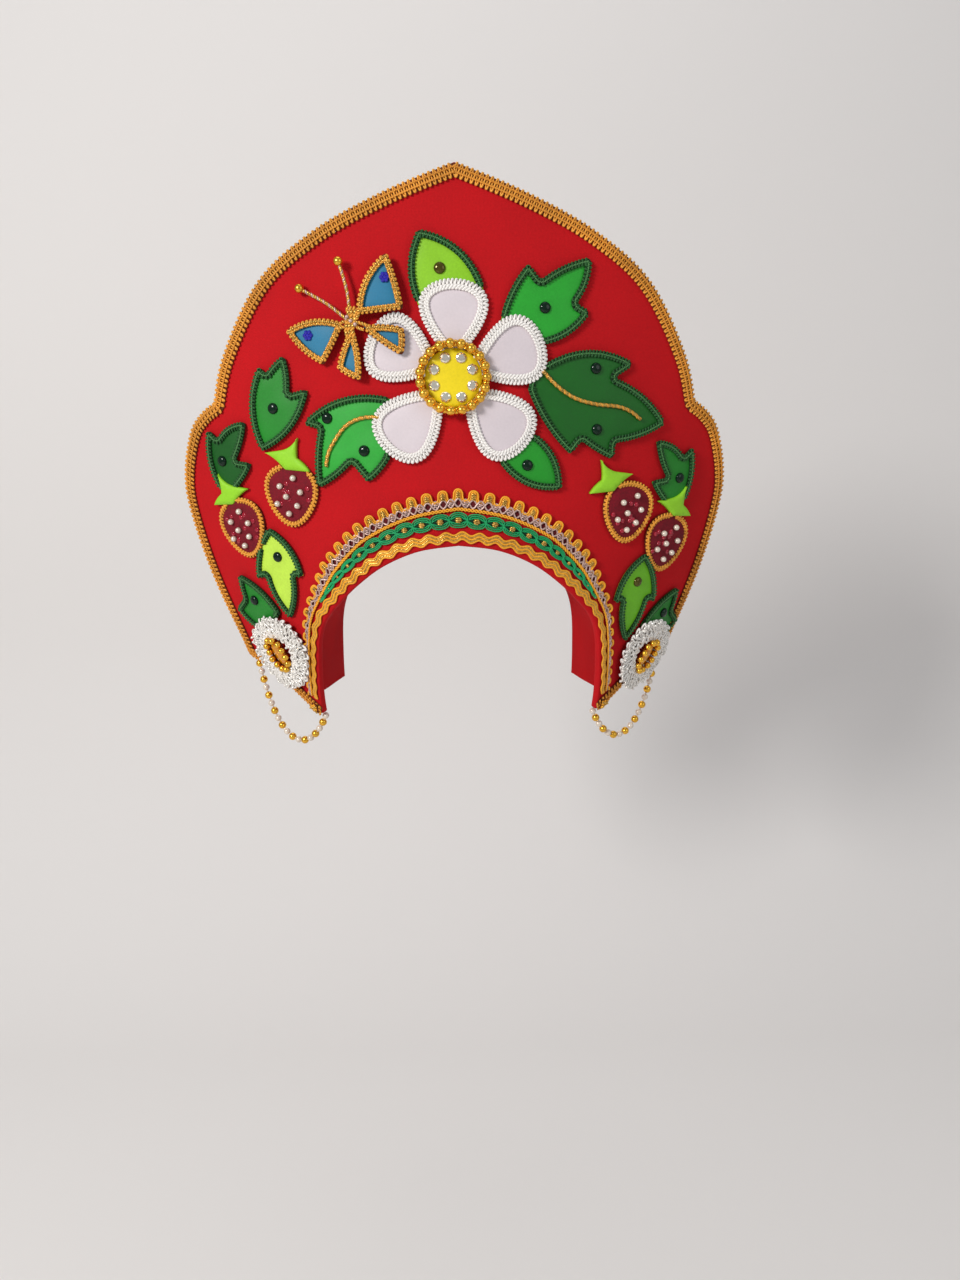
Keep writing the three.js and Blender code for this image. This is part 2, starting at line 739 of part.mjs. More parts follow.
// The free field of the crest inside its braids
const fieldEdge = edgeBraidWidth - edgeBraidOverhang + gap;
const archEdge = braidEdge('goldOut');
const insideEdge = slab(offsetLine(braidLine, fieldEdge, false), 1 - tall, tall - 1);
const insideArch = slab(offsetLine(wholeArch, (share) => archEdge(share) - gap, false), -tall, tall);
const field = insideEdge.subtract(insideArch);

// Lace flowers: they lie over the braids, and have a raised oval of beads at the middle
const laceLow = gap + braidThickness + gap;

function laceFlower(row) {
  const centre = onPattern(row);
  const steps = laceScallops * 3;
  const outline = Array.from({ length: steps }, (unused, i) => {
    const angle = (2 * Math.PI * i) / steps;
    const reach = laceDiameter / 2 - laceScallopDepth * (0.5 - 0.5 * Math.cos(angle * laceScallops));
    return new THREE.Vector2(Math.cos(angle), Math.sin(angle)).multiplyScalar(reach).add(centre);
  });
  const gapCircle = laceDiameter / 2 - laceScallopDepth - laceGapDiameter / 2 - 1;
  const holes = Array.from({ length: laceGapCount }, (unused, i) => {
    const angle = (2 * Math.PI * i) / laceGapCount;
    const place = new THREE.Vector2(Math.cos(angle), Math.sin(angle)).multiplyScalar(gapCircle).add(centre);
    return circleOutline(place, laceGapDiameter / 2, 4).reverse();
  });
  const turn = THREE.MathUtils.degToRad(row.turn);
  const oval = eggOutline(centre, laceCentreLength, laceCentreWidth, 0, turn, 12);
  const top = laceLow + laceThickness;
  const lace = slab(outline, laceLow, top, holes);
  keepClear(outline);
  return lace.add(ringSlab(oval, laceBeadDiameter, top - 0.2, top + laceBeadDiameter * 0.75));
}

laceRows.forEach((row) => {
  addPiece(row.name, wrapped(laceFlower(row)), colours.lace, 0.6);
});

// Calyxes and berries
calyxRows.forEach((row, i) => {
  const shape = { pattern: 'calyx', size: 1, mirror: row.mirror };
  const outline = patternOutline(shape, calyxReach, onPattern(row));
  const body = slab(outline, gap, gap + berryThickness);
  addPiece(`calyx_${i + 1}`, wrapped(cutClear(body)), colours.calyx);
  keepClear(outline);
});

berryRows.forEach((row, i) => {
  const turn = THREE.MathUtils.degToRad(90 + row.turn);
  const outline = eggOutline(onPattern(row), berryHeight, berryWidth, berryTaper, turn, 16);
  const top = gap + berryThickness;
  const body = slab(outline, gap, top).add(ringSlab(outline, berryTrimWidth, gap, top + 1));
  addPiece(`berry_${i + 1}`, wrapped(cutClear(body)), colours.berry);
  keepClear(outline);
});

// Flower: disc with its stones, bead ring, and petals with their trims
const flowerCentre = new THREE.Vector2(flowerAcross, flowerUp);
const discOutline = circleOutline(flowerCentre, discRadius, 20);

function flowerDisc() {
  const top = gap + discThickness;
  return Array.from({ length: discStoneCount }, (unused, i) => {
    const angle = (2 * Math.PI * (i + 0.5)) / discStoneCount;
    const spoke = new THREE.Vector2(Math.cos(angle), Math.sin(angle));
    return spoke.multiplyScalar(discStoneCircle).add(flowerCentre);
  }).reduce((body, place) => body.add(stone(place, top)), slab(discOutline, gap, top));
}

addPiece('flower_disc', wrapped(flowerDisc()), colours.yellowSatin, 0.5);
keepClear(discOutline);

petalRows.forEach((row, i) => {
  const turn = THREE.MathUtils.degToRad(row.turn);
  const reach = petalReach * row.reach;
  const middle = new THREE.Vector2((petalStart + reach) / 2, 0).rotateAround(new THREE.Vector2(), turn);
  const outline = eggOutline(middle.add(flowerCentre), reach - petalStart, petalWidth, petalTaper, turn, 18);
  const petal = cutClear(slab(outline, gap, clothTop));
  const trim = cutClear(ringSlab(outline, petalTrimWidth, trimLow, trimTop));
  addPiece(`petal_${i + 1}`, wrapped(petal), colours.petal, 0.5);
  addPiece(`petal_trim_${i + 1}`, wrapped(trim), colours.crochet);
  keepClear(outline);
});

// Leaves with their stones and trims
function leafStones(row, centre) {
  const known = { rightLeaf: bigLeafStones, leftLeaf: [leftLeafStone] };
  const shares = known[row.pattern] ?? [{ across: 0, up: 0 }];
  const size = row.size * leafReach;
  return shares.map((share) => placed(share, size, size).add(centre));
}

leafRows.forEach((row) => {
  const centre = onPattern(row);
  const outline = patternOutline(row, leafReach, centre);
  const plate = cutClear(slab(outline, gap, clothTop).intersect(field));
  const stones = leafStones(row, centre);
  const leaf = stones.reduce((body, place) => body.add(stone(place, clothTop)), plate);
  const trim = cutClear(ringSlab(outline, leafTrimWidth, trimLow, trimTop).intersect(field));
  addPiece(row.name, wrapped(leaf), row.colour, 0.5);
  addPiece(row.name.replace('leaf', 'leaf_trim'), wrapped(trim), colours.leafTrim);
});

// Butterfly: its right wings lie on a petal, so it rises towards them
const butterflyLow = gap;
const butterflyEdge = -0.5 * crestHalfWidth;
const butterflyRamp = 0.22 * crestHalfWidth;

function butterflyLift(across) {
  return wingLift * THREE.MathUtils.clamp((across - butterflyEdge) / butterflyRamp, 0, 1);
}

// A bar on the flat pattern between two points
function bar(from, to, width, low, high) {
  const side = to.clone().sub(from).normalize().multiplyScalar(width / 2);
  const across = new THREE.Vector2(side.y, -side.x);
  const outline = [
    from.clone().add(across),
    to.clone().add(across),
    to.clone().sub(across),
    from.clone().sub(across),
  ];
  return slab(outline, low, high);
}

function butterflyTrim() {
  const low = butterflyLow + clothThickness + gap;
  const high = low + trimThickness;
  const body = onPattern(bodyPlace);
  const thorax = slab(eggOutline(body, bodyLength, bodyWidth, 0, Math.PI / 2, 10), low, high + 1);
  const rims = wingRows.map((row) => {
    return ringSlab(patternOutline(row, wingReach, onPattern(row)), wingTrimWidth, low, high);
  });
  const feelers = antennaTips.map((tip) => {
    const place = onPattern(tip);
    const bead = new THREE.SphereGeometry(antennaBeadDiameter / 2, roundSides, 6).rotateX(Math.PI / 2);
    const end = solidOf(bead.translate(place.x, place.y, low + antennaWidth / 2));
    return bar(body, place, antennaWidth, low, low + antennaWidth).add(end);
  });
  return [...rims, ...feelers].reduce((whole, piece) => whole.add(piece), thorax);
}

wingRows.forEach((row) => {
  const centre = onPattern(row);
  const outline = offsetLine(patternOutline(row, wingReach, centre), -gap);
  const plate = slab(outline, butterflyLow, butterflyLow + clothThickness);
  const wing = row.stone ? plate.add(stone(centre, butterflyLow + clothThickness)) : plate;
  addPiece(row.name, wrapped(wing, butterflyLift), colours.blueSatin, 0.5);
});
addPiece('butterfly_trim', wrapped(butterflyTrim(), butterflyLift), colours.goldBraid, 0.6, 0.3);

// Strings of beads

// Radii of a straight string of beads on its thread, as a closed profile from end to end
function beadProfile(diameters, pitch) {
  const thread = threadDiameter / 2;
  const waist = 0.45;
  const shoulder = 0.9;
  const points = diameters.flatMap((diameter, i) => {
    const middle = i * pitch;
    const beadEnds = [-1, 1].map((end) => {
      return new THREE.Vector2((shoulder * diameter) / 2, middle + (end * waist * diameter) / 2);
    });
    return [...beadEnds, new THREE.Vector2(thread, middle + pitch / 2)];
  });
  const first = new THREE.Vector2(0, -diameters[0] / 2);
  const last = new THREE.Vector2(0, (diameters.length - 1) * pitch + diameters.at(-1) / 2);
  return [first, ...points.slice(0, -1), last];
}

// Bends a straight string of beads along a curve given by distance along it
function bentString(diameters, pitch, curveAt, frameUp) {
  const straight = new THREE.LatheGeometry(beadProfile(diameters, pitch), roundSides);
  return formed(straight, (x, y, z) => {
    const { point, tangent } = curveAt(y);
    const side = new THREE.Vector3().crossVectors(tangent, frameUp).normalize();
    const outward = new THREE.Vector3().crossVectors(side, tangent);
    return point.clone().addScaledVector(side, x).addScaledVector(outward, z);
  });
}

// Bead ring of the flower, on top of the disc's edge and the petals
function flowerBeadRing() {
  const pitch = ringBeadDiameter + 0.4;
  const radius = (ringBeadCount * pitch) / (2 * Math.PI);
  const height = trimTop + gap + ringBeadDiameter / 2;
  const centre = onCrest(flowerCentre.x, flowerCentre.y, height);
  const turn = Math.atan2(flowerCentre.x, flowerCentre.y + apexDepth) / Math.sin(coneAngle);
  const { ruling, normal } = coneFrame(turn);
  const across = new THREE.Vector3().crossVectors(ruling, normal).negate();
  const diameters = Array(ringBeadCount).fill(ringBeadDiameter);
  const curveAt = (along) => {
    const angle = along / radius;
    const spoke = across.clone().multiplyScalar(Math.cos(angle)).addScaledVector(ruling, Math.sin(angle));
    const tangent = across.clone().multiplyScalar(-Math.sin(angle)).addScaledVector(ruling, Math.cos(angle));
    return { point: centre.clone().addScaledVector(spoke, radius), tangent };
  };
  return bentString(diameters, pitch, curveAt, normal);
}

addPiece('flower_bead_ring', flowerBeadRing(), colours.goldBead, 0.3, 0.9);

// Depth parameter of a hanging curve with a given span, drop and length
function hangingShape(span, drop, length) {
  const target = Math.sqrt(length ** 2 - drop ** 2) / span;
  let steep = 0.1;
  let high = 20;
  for (let i = 0; i < 60; i += 1) {
    const middle = (steep + high) / 2;
    if (Math.sinh(middle) / middle < target) {
      steep = middle;
    } else {
      high = middle;
    }
  }
  const scale = span / (2 * steep);
  const lowest = span / 2 - scale * Math.asinh(drop / (2 * scale * Math.sinh(steep)));
  return { scale, lowest };
}

// Places where a bead string hangs, below the lower edge at the wing's corner and at its tip
const stringEnds = [
  outerLine.at(-1).clone().lerp(lowerCorners.at(-1), stringCornerShare).sub({ x: 0, y: stringCornerDrop }),
  lowerCorners[1].clone().sub({ x: 0, y: stringTipDrop }),
];

// A bead string that hangs under gravity between the wing's corner and its tip
function hangingString(side) {
  const [from, to] = stringEnds.map((place) => onCrest(side * place.x, place.y, -crestThickness / 2));
  const length = (stringBeadCount - 1) * stringBeadPitch;
  const level = new THREE.Vector3(to.x - from.x, to.y - from.y, 0);
  const span = level.length();
  level.normalize();
  const { scale, lowest } = hangingShape(span, to.z - from.z, length);
  const startRise = Math.sinh(-lowest / scale);
  const curveAt = (along) => {
    const slope = startRise + along / scale;
    const offset = lowest + scale * Math.asinh(slope);
    const height = scale * (Math.hypot(1, slope) - Math.hypot(1, startRise));
    const point = from.clone().addScaledVector(level, offset);
    point.z += height;
    const tangent = level.clone().setZ(slope).normalize();
    return { point, tangent };
  };
  const diameters = Array.from({ length: stringBeadCount }, (unused, i) => {
    return i % 2 === 0 ? pearlDiameter : goldBeadDiameter;
  });
  const across = new THREE.Vector3(-level.y, level.x, 0);
  return bentString(diameters, stringBeadPitch, curveAt, across);
}

addPiece('bead_string_left', hangingString(-1), colours.beadString, 0.3, 0.6);
addPiece('bead_string_right', hangingString(1), colours.beadString, 0.3, 0.6);

// The origin is where the middle of the band sits on the crown
const seatDepth = crestThickness + gap + bandDepth / 2;
const seatHeight = bandSetback + bandRise / 2;
headdress.position.set(0, -seatDepth, -seatHeight);

export default headdress;
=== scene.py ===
"""Kokoshnik headdress: the look of its cloth, braids, sewn-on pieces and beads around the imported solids.

The crest is cut from a flat pattern and wrapped on a cone. Pieces are drawn on that pattern in
millimetres: across and up from the top of the arch, and out from the face of the crest.
"""

import math

import bmesh
import bpy
import numpy as np
from mathutils import Matrix, Vector
from mathutils.geometry import delaunay_2d_cdt


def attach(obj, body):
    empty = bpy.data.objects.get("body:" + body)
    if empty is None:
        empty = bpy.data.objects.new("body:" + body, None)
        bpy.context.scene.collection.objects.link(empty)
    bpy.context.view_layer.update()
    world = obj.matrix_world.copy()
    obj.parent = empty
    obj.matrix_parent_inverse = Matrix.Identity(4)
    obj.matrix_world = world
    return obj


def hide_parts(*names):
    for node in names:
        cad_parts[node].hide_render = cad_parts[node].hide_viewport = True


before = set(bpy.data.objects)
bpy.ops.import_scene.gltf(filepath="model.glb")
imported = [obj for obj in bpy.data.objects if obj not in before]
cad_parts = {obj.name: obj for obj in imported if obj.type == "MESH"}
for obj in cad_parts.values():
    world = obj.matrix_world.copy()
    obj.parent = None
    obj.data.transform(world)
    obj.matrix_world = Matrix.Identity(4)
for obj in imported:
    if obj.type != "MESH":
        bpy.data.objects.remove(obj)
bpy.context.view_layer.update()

# Plain colours: the dyed cloth is strong, and stays so in the picture
bpy.context.scene.view_settings.view_transform = "Standard"

MM = 0.001
FULL_TURN = 2 * math.pi


def unit(vectors):
    return vectors / np.maximum(np.linalg.norm(vectors, axis=-1, keepdims=True), 1e-12)


def put(thing, place, right, up, forward):
    """Places a camera or a light that looks forward."""
    rotation = Matrix(np.column_stack([right, up, -forward]).tolist()).to_4x4()
    thing.matrix_world = Matrix.Translation(place) @ rotation
    bpy.context.collection.objects.link(thing)


# Camera of the photograph, in the part's frame
FOCAL_PIXELS = 961.0
IMAGE_HEIGHT = 1280.0
SENSOR = 36.0
CAMERA_PLACE = (-0.00572, -0.5524, 0.03997)
PITCH, YAW, ROLL = (math.radians(angle) for angle in (11.0, 1.86, -0.446))


def add_camera():
    forward = np.array([math.sin(YAW) * math.cos(PITCH), math.cos(YAW) * math.cos(PITCH), -math.sin(PITCH)])
    level = np.array([math.cos(YAW), -math.sin(YAW), 0.0])
    upright = np.cross(level, forward)
    right = math.cos(ROLL) * level + math.sin(ROLL) * upright
    up = math.cos(ROLL) * upright - math.sin(ROLL) * level
    data = bpy.data.cameras.new("camera")
    data.sensor_width = SENSOR
    data.lens = SENSOR * FOCAL_PIXELS / IMAGE_HEIGHT
    data.clip_start = 0.01
    camera = bpy.data.objects.new("camera", data)
    put(camera, CAMERA_PLACE, right, up, forward)
    bpy.context.scene.camera = camera


add_camera()

# The flat pattern and the cone that it is wrapped on, as in the part's source
HALF_WIDTH, HEIGHT = 171.0, 191.0
ARCH_WIDTH, ARCH_DROP = 95.0, 103.0
THICKNESS = 4.0
APEX = 182.6
SLOPE = math.sin(math.radians(45.0))
SEAT = np.array([0.0, -35.4, -8.5])
AXIS = np.array([0.0, SLOPE, SLOPE])

# Half outlines, across and up: the crest's as shares of its size, the arch's as shares of its own
UPPER = ((0, 1), (0.22, 0.925), (0.427, 0.837), (0.611, 0.717), (0.754, 0.527), (0.81, 0.397))
WING = ((0.81, 0.397), (0.865, 0.37), (0.927, 0.314), (0.988, 0.188), (1, 0.08), (0.97, -0.121),
        (0.915, -0.333), (0.906, -0.416))
LOWER = ((1, -1), (1.01, -1.044), (1.105, -0.99), (1.253, -0.903), (1.453, -0.82))
ARCH = ((0, 0), (0.23, -0.03), (0.44, -0.11), (0.61, -0.22), (0.74, -0.33), (0.84, -0.43), (0.9, -0.55),
        (0.945, -0.75), (1, -1))

# Edges of the arch braids beside the arch, as shares of their width, along it from its middle to a tip
BRAID_WIDTH = 30.4
BRAID_ROWS = {
    "along": (0, 0.3, 0.45, 0.57, 0.7, 1),
    "zigzag_in": (0.05, 0.05, 0.045, 0.04, 0.03, 0.03),
    "zigzag_out": (0.25, 0.25, 0.24, 0.21, 0.15, 0.13),
    "green_in": (0.36, 0.33, 0.29, 0.24, 0.18, 0.16),
    "gold_in": (0.6, 0.52, 0.4, 0.26, 0.18, 0.16),
    "gold_out": (1, 0.89, 0.74, 0.5, 0.32, 0.25),
}

# Corners of the cut pieces: direction in degrees, reach, and bulge of the edge that follows
PATTERNS = {
    "top": ((120, 0.78, 0.14), (245, 0.85, 0), (292, 0.85, 0.1), (337, 0.9, 0.15)),
    "lobed": ((46, 1.08, 0.06), (100, 0.42, 0), (112, 0.72, 0.08), (210, 0.88, 0), (272, 0.56, 0.1),
              (357, 0.76, 0), (368, 0.52, 0.1)),
    "right": ((-10, 1, 0.08), (49, 0.43, 0), (41.5, 0.72, 0.16), (153, 0.78, 0), (166, 0.75, 0.06),
              (246, 0.57, 0), (254, 0.38, 0.04), (298, 0.66, 0), (309, 0.5, 0.06)),
    "low": ((80, 0.68, 0), (167, 0.67, 0.16), (326, 0.9, 0.14)),
    "left": ((34, 1.02, 0.14), (166, 0.76, 0), (165, 0.45, 0.05), (239, 0.99, 0.06), (284, 0.45, 0),
             (296, 0.84, 0.06), (334, 0.83, 0)),
    "upper_left": ((25, 0.9, 0), (36, 0.48, 0.06), (72, 1.07, 0.06), (98, 0.68, 0), (107, 0.88, 0.14),
                   (248, 0.92, 0.14)),
    "side_top": ((-2, 0.96, 0), (3, 0.45, 0.06), (48, 1.32, 0.12), (96, 0.57, 0), (113, 0.9, 0.14),
                 (265, 0.96, 0.08)),
    "side_middle": ((103, 0.58, 0.1), (220, 0.78, 0), (229, 0.54, 0.1), (276, 1.24, 0.1), (317, 0.5, 0),
                    (326, 0.68, 0.14)),
    "side_low": ((-15, 1.06, 0.1), (121, 0.92, 0.04), (180, 0.45, 0), (203, 1, 0.1), (270, 1, 0.05)),
    "calyx": ((5, 0.42, -0.04), (58, 0.95, -0.1), (115, 0.38, 0), (166, 1, -0.06), (256, 0.42, 0),
              (333, 1.08, 0.06)),
    "upper_wing": ((79, 1.03, 0.13), (221, 0.83, 0), (325, 0.74, 0.03)),
    "left_wing": ((26, 0.79, 0.12), (167, 1, 0.08), (278, 0.71, 0.02)),
    "right_wing": ((30, 0.5, 0.05), (161, 0.95, 0.04), (302, 0.74, 0.08)),
    "lower_wing": ((78, 0.95, 0), (94, 0.95, 0.04), (216, 0.76, 0.06), (293, 1.05, 0.06)),
}


def cone_frame(flat):
    """Ruling and outward normal of the crest at points of the pattern."""
    turn = np.arctan2(flat[..., 0], flat[..., 1] + APEX) / SLOPE
    side = np.stack([np.sin(turn), -SLOPE * np.cos(turn), SLOPE * np.cos(turn)], axis=-1)
    return SLOPE * AXIS + SLOPE * side, SLOPE * side - SLOPE * AXIS


def on_crest(flat, out):
    """Points of the pattern wrapped on the crest, in metres."""
    reach = np.hypot(flat[..., 0], flat[..., 1] + APEX)
    ruling, normal = cone_frame(flat)
    out = np.broadcast_to(np.asarray(out, float), reach.shape)
    point = reach[..., None] * ruling + out[..., None] * normal
    return (point + SEAT - np.array([0.0, 0.0, APEX])) * MM


def on_pattern(across, up):
    """A place on the pattern from shares of the crest's half width and height."""
    return np.array([across * HALF_WIDTH, up * HEIGHT])


def no_lift(across):
    return 0.0


# Mesh building


class Shape:
    """Points and faces of one piece, with a pattern coordinate in millimetres for its cloth."""

    def __init__(self):
        self.points, self.coords, self.faces, self.slots = [], [], [], []
        self.count = 0

    def add(self, points, faces, slot=0, coords=None):
        points = np.asarray(points).reshape(-1, 3)
        coords = points[:, [0, 2]] * 1000.0 if coords is None else np.asarray(coords).reshape(-1, 2)
        self.points.append(points)
        self.coords.append(coords)
        self.faces += [[corner + self.count for corner in face] for face in faces]
        self.slots += [slot] * len(faces)
        self.count += len(points)

    def build(self, name, materials, nodes, slot, smooth=True, weld=False):
        mesh = bpy.data.meshes.new(name)
        mesh.from_pydata(np.concatenate(self.points).tolist(), [], self.faces)
        layer = mesh.uv_layers.new(name="pattern")
        corners = np.empty(len(mesh.loops), dtype=int)
        mesh.loops.foreach_get("vertex_index", corners)
        layer.data.foreach_set("uv", np.concatenate(self.coords)[corners].ravel())
        mesh.polygons.foreach_set("material_index", self.slots)
        mesh.polygons.foreach_set("use_smooth", [smooth] * len(mesh.polygons))
        for material in materials:
            mesh.materials.append(material)
        if weld:
            joined = bmesh.new()
            joined.from_mesh(mesh)
            bmesh.ops.remove_doubles(joined, verts=joined.verts, dist=2e-6)
            joined.to_mesh(mesh)
            joined.free()
        mesh.update()
        piece = bpy.data.objects.new(name, mesh)
        bpy.context.collection.objects.link(piece)
        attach(piece, "root")
        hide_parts(*nodes)
        return piece


def grid_faces(rows, columns, close_rows=False, close_columns=False):
    """Quads of a grid of points in rows, facing along rows x columns."""
    faces = []
    for i in range(rows if close_rows else rows - 1):
        for j in range(columns if close_columns else columns - 1):
            a, b = i * columns, ((i + 1) % rows) * columns
            k = (j + 1) % columns
            faces.append((a + j, a + k, b + k, b + j))
    return faces


def end_faces(rows, columns):
    """The first and the last row of a grid, as a face each."""
    return tuple(range(columns)), tuple((rows - 1) * columns + k for k in range(columns))


def turned_over(faces):
    return [face[::-1] for face in faces]


def around(count, shift=0.0):
    """Angles of equal steps round a circle."""
    return (np.arange(count) + shift) * FULL_TURN / count


def towards(angle):
    """Unit directions on the pattern at angles."""
    return np.stack([np.cos(angle), np.sin(angle)], axis=-1)


def directions(line, closed):
    """Unit directions along a line at each of its points."""
    ahead = np.roll(line, -1, 0) - np.roll(line, 1, 0)
    if not closed:
        ahead[0], ahead[-1] = line[1] - line[0], line[-1] - line[-2]
    return unit(ahead)


def tube(shape, points, radius, up, slot=0, sides=5, closed=False):
    """A round cord through points, in metres."""
    ahead = directions(points, closed)
    side = unit(np.cross(ahead, up))
    top = np.cross(side, ahead)
    angle = around(sides)[None, :, None]
    ring = np.cos(angle) * side[:, None, :] + np.sin(angle) * top[:, None, :]
    faces = grid_faces(len(points), sides, close_rows=closed, close_columns=True)
    if not closed:
        first, last = end_faces(len(points), sides)
        faces += [first[::-1], last]
    shape.add(points[:, None, :] + radius * ring, faces, slot)


def ball(shape, centre, radius, slot, axis, squash=1.0, rings=8, sides=12):
    """A round bead in metres, squashed or drawn out along its axis."""
    axis = unit(axis)
    other = np.array([1.0, 0.0, 0.0]) if abs(axis[0]) < 0.8 else np.array([0.0, 1.0, 0.0])
    first = unit(np.cross(axis, other))
    second = np.cross(axis, first)
    polar = np.linspace(0, math.pi, rings + 1)[1:-1, None, None]
    turn = around(sides)[None, :, None]
    body = np.sin(polar) * (np.cos(turn) * first + np.sin(turn) * second) + squash * np.cos(polar) * axis
    pole = radius * squash * axis
    points = np.concatenate([[centre + pole], (centre + radius * body).reshape(-1, 3), [centre - pole]])
    beside = [(k, (k + 1) % sides) for k in range(sides)]
    low_ring, low_pole = 1 + (rings - 2) * sides, len(points) - 1
    faces = [(0, 1 + k, 1 + n) for k, n in beside]
    for a in range(1, low_ring, sides):
        faces += [(a + k, a + sides + k, a + sides + n, a + n) for k, n in beside]
    faces += [(low_ring + k, low_pole, low_ring + n) for k, n in beside]
    shape.add(points, faces, slot)


def bead(shape, flat, out, radius, slot=0, rings=8, sides=12, lift=no_lift, upright_at=None):
    """A round bead on the crest, its centre at a height, standing as the crest does there or elsewhere."""
    _, normal = cone_frame(flat if upright_at is None else upright_at)
    ball(shape, on_crest(flat, out + lift(flat[0])), radius * MM, slot, normal, 1.0, rings, sides)


# Levels of a cut stone: share of its radius, share of its height, and turn in steps
GEM_LEVELS = ((0.98, 0.0, 0), (1.0, 0.3, 0), (0.86, 0.66, 0.5), (0.6, 0.9, 0), (0.28, 1.0, 0.5))


def gem(shape, flat, low, radius, height, slot=0, sides=8):
    """A cut stone: a girdle, three rings of crown facets that turn against each other, and a small table."""
    points = [on_crest(flat + radius * share * towards(around(sides, turn)), low + rise * height)
              for share, rise, turn in GEM_LEVELS]
    faces = []
    for level in range(len(GEM_LEVELS) - 1):
        a, b = level * sides, (level + 1) * sides
        turn = GEM_LEVELS[level + 1][2] - GEM_LEVELS[level][2]
        for k in range(sides):
            n = (k + 1) % sides
            if turn > 0:
                faces += [(a + k, a + n, b + k), (a + n, b + n, b + k)]
            elif turn < 0:
                faces += [(a + k, b + n, b + k), (a + k, a + n, b + n)]
            else:
                faces.append((a + k, a + n, b + n, b + k))
    table = end_faces(len(GEM_LEVELS), sides)[1]
    shape.add(np.concatenate(points), faces + [table], slot)


# Flat lines and outlines


def travelled(line):
    """Distance along a line at each of its points."""
    return np.concatenate([[0], np.cumsum(np.hypot(*np.diff(line, axis=0).T))])


def read_at(at, stations, line):
    """Places on a line, between the stations of its points."""
    return np.stack([np.interp(at, stations, column) for column in line.T], axis=-1)


def evenly(line, steps):
    """A line resampled at even distances into a number of steps."""
    length = travelled(line)
    return read_at(np.linspace(0, length[-1], steps + 1), length, line)


def looped(line):
    return np.concatenate([line, line[:1]])


def line_length(line, closed=False):
    whole = looped(line) if closed else line
    return float(np.hypot(*np.diff(whole, axis=0).T).sum())


def even_path(path, closed, step):
    """A path in even steps of about a length."""
    whole = looped(path) if closed else path
    fine = evenly(whole, max(6, round(line_length(whole) / step)))
    return fine[:-1] if closed else fine


def catmull(points, steps):
    """A smooth curve through points, evenly spaced."""
    points = np.asarray(points, float)
    padded = np.concatenate([points[:1], points, points[-1:]])
    share = np.linspace(0, 1, 24, endpoint=False)[:, None]
    parts = []
    for i in range(len(points) - 1):
        a, b, c, d = padded[i : i + 4]
        v0, v1 = (c - a) * 0.5, (d - b) * 0.5
        cubic = (2 * b - 2 * c + v0 + v1) * share**3
        square = (-3 * b + 3 * c - 2 * v0 - v1) * share**2
        parts.append(cubic + square + v0 * share + b)
    return evenly(np.concatenate([*parts, points[-1:]]), steps)


def smoothed(path, times):
    """An open path with its corners eased."""
    for _ in range(times):
        path[1:-1] = (path[:-2] + 2 * path[1:-1] + path[2:]) / 4
    return path


def mirrored(line):
    return (line * np.array([-1.0, 1.0]))[::-1]


def both_halves(half):
    """A line from the left to the right, from its right half."""
    return np.concatenate([mirrored(half)[:-1], half])


def at_sides(path, closed):
    """Unit directions to the left of a flat path."""
    ahead = directions(path, closed)
    return np.stack([-ahead[:, 1], ahead[:, 0]], axis=-1)


def shifted(path, sides, offset):
    """A flat path moved to its side, by one offset or by one for each point."""
    return path + sides * np.broadcast_to(offset, (len(path),))[:, None]


def pattern_outline(kind, size, centre, mirror=False):
    """Outline of a cut piece, its bulged edges as arcs, anticlockwise."""
    side = -1 if mirror else 1
    corners = [np.array([side, 1]) * towards(math.radians(turn)) * reach * size + centre
               for turn, reach, _ in PATTERNS[kind]]
    share = np.linspace(0, 1, 9, endpoint=False)[:, None]
    points = []
    for i, start in enumerate(corners):
        end = corners[(i + 1) % len(corners)]
        chord = end - start
        bulge = np.array([chord[1], -chord[0]]) * 2 * side * PATTERNS[kind][i][2]
        control = (start + end) / 2 + bulge
        points.append((1 - share) ** 2 * start + 2 * share * (1 - share) * control + share**2 * end)
    outline = np.concatenate(points)
    return outline[::-1] if mirror else outline


def egg_outline(centre, length, width, taper=0.0, turn=0.0, steps=72):
    """A circle, an oval or an egg that narrows away from its turn."""
    angle = around(steps)
    along = length / 2 * np.cos(angle)
    beside = width / 2 * np.sin(angle) * (1 + taper * np.cos(angle))
    cos, sin = math.cos(turn), math.sin(turn)
    return np.stack([cos * along - sin * beside, sin * along + cos * beside], axis=-1) + centre


def inside(points, outline):
    """Which points lie inside a closed outline."""
    x, y = points[:, 0][:, None], points[:, 1][:, None]
    ax, ay = outline[:, 0][None], outline[:, 1][None]
    bx, by = np.roll(outline[:, 0], -1)[None], np.roll(outline[:, 1], -1)[None]
    crosses = (ay > y) != (by > y)
    at = ax + (bx - ax) * (y - ay) / np.where(by == ay, 1e-9, by - ay)
    return (crosses & (x < at)).sum(axis=1) % 2 == 1


def nearest(points, line):
    """Distance from each point to the nearest point of a line."""
    return np.hypot(points[:, None, 0] - line[None, :, 0], points[:, None, 1] - line[None, :, 1]).min(axis=1)


# Step of a path inside an outline
INSET_STEP = 0.4


def inset_path(outline, distance):
    """A closed path at a distance inside an anticlockwise outline, without loops at its corners."""

    def spaced(line):
        whole = looped(line)
        return evenly(whole, max(24, int(line_length(whole) / INSET_STEP)))[:-1]

    fine = spaced(outline)
    path = fine + distance * at_sides(fine, True)
    path = path[nearest(path, fine) > distance * 0.93]
    for _ in range(3):
        path = (np.roll(path, 1, 0) + 2 * path + np.roll(path, -1, 0)) / 4
    return spaced(path)


# Fewest points of a stretch of trim that is worth sewing
SHORTEST_RUN = 9


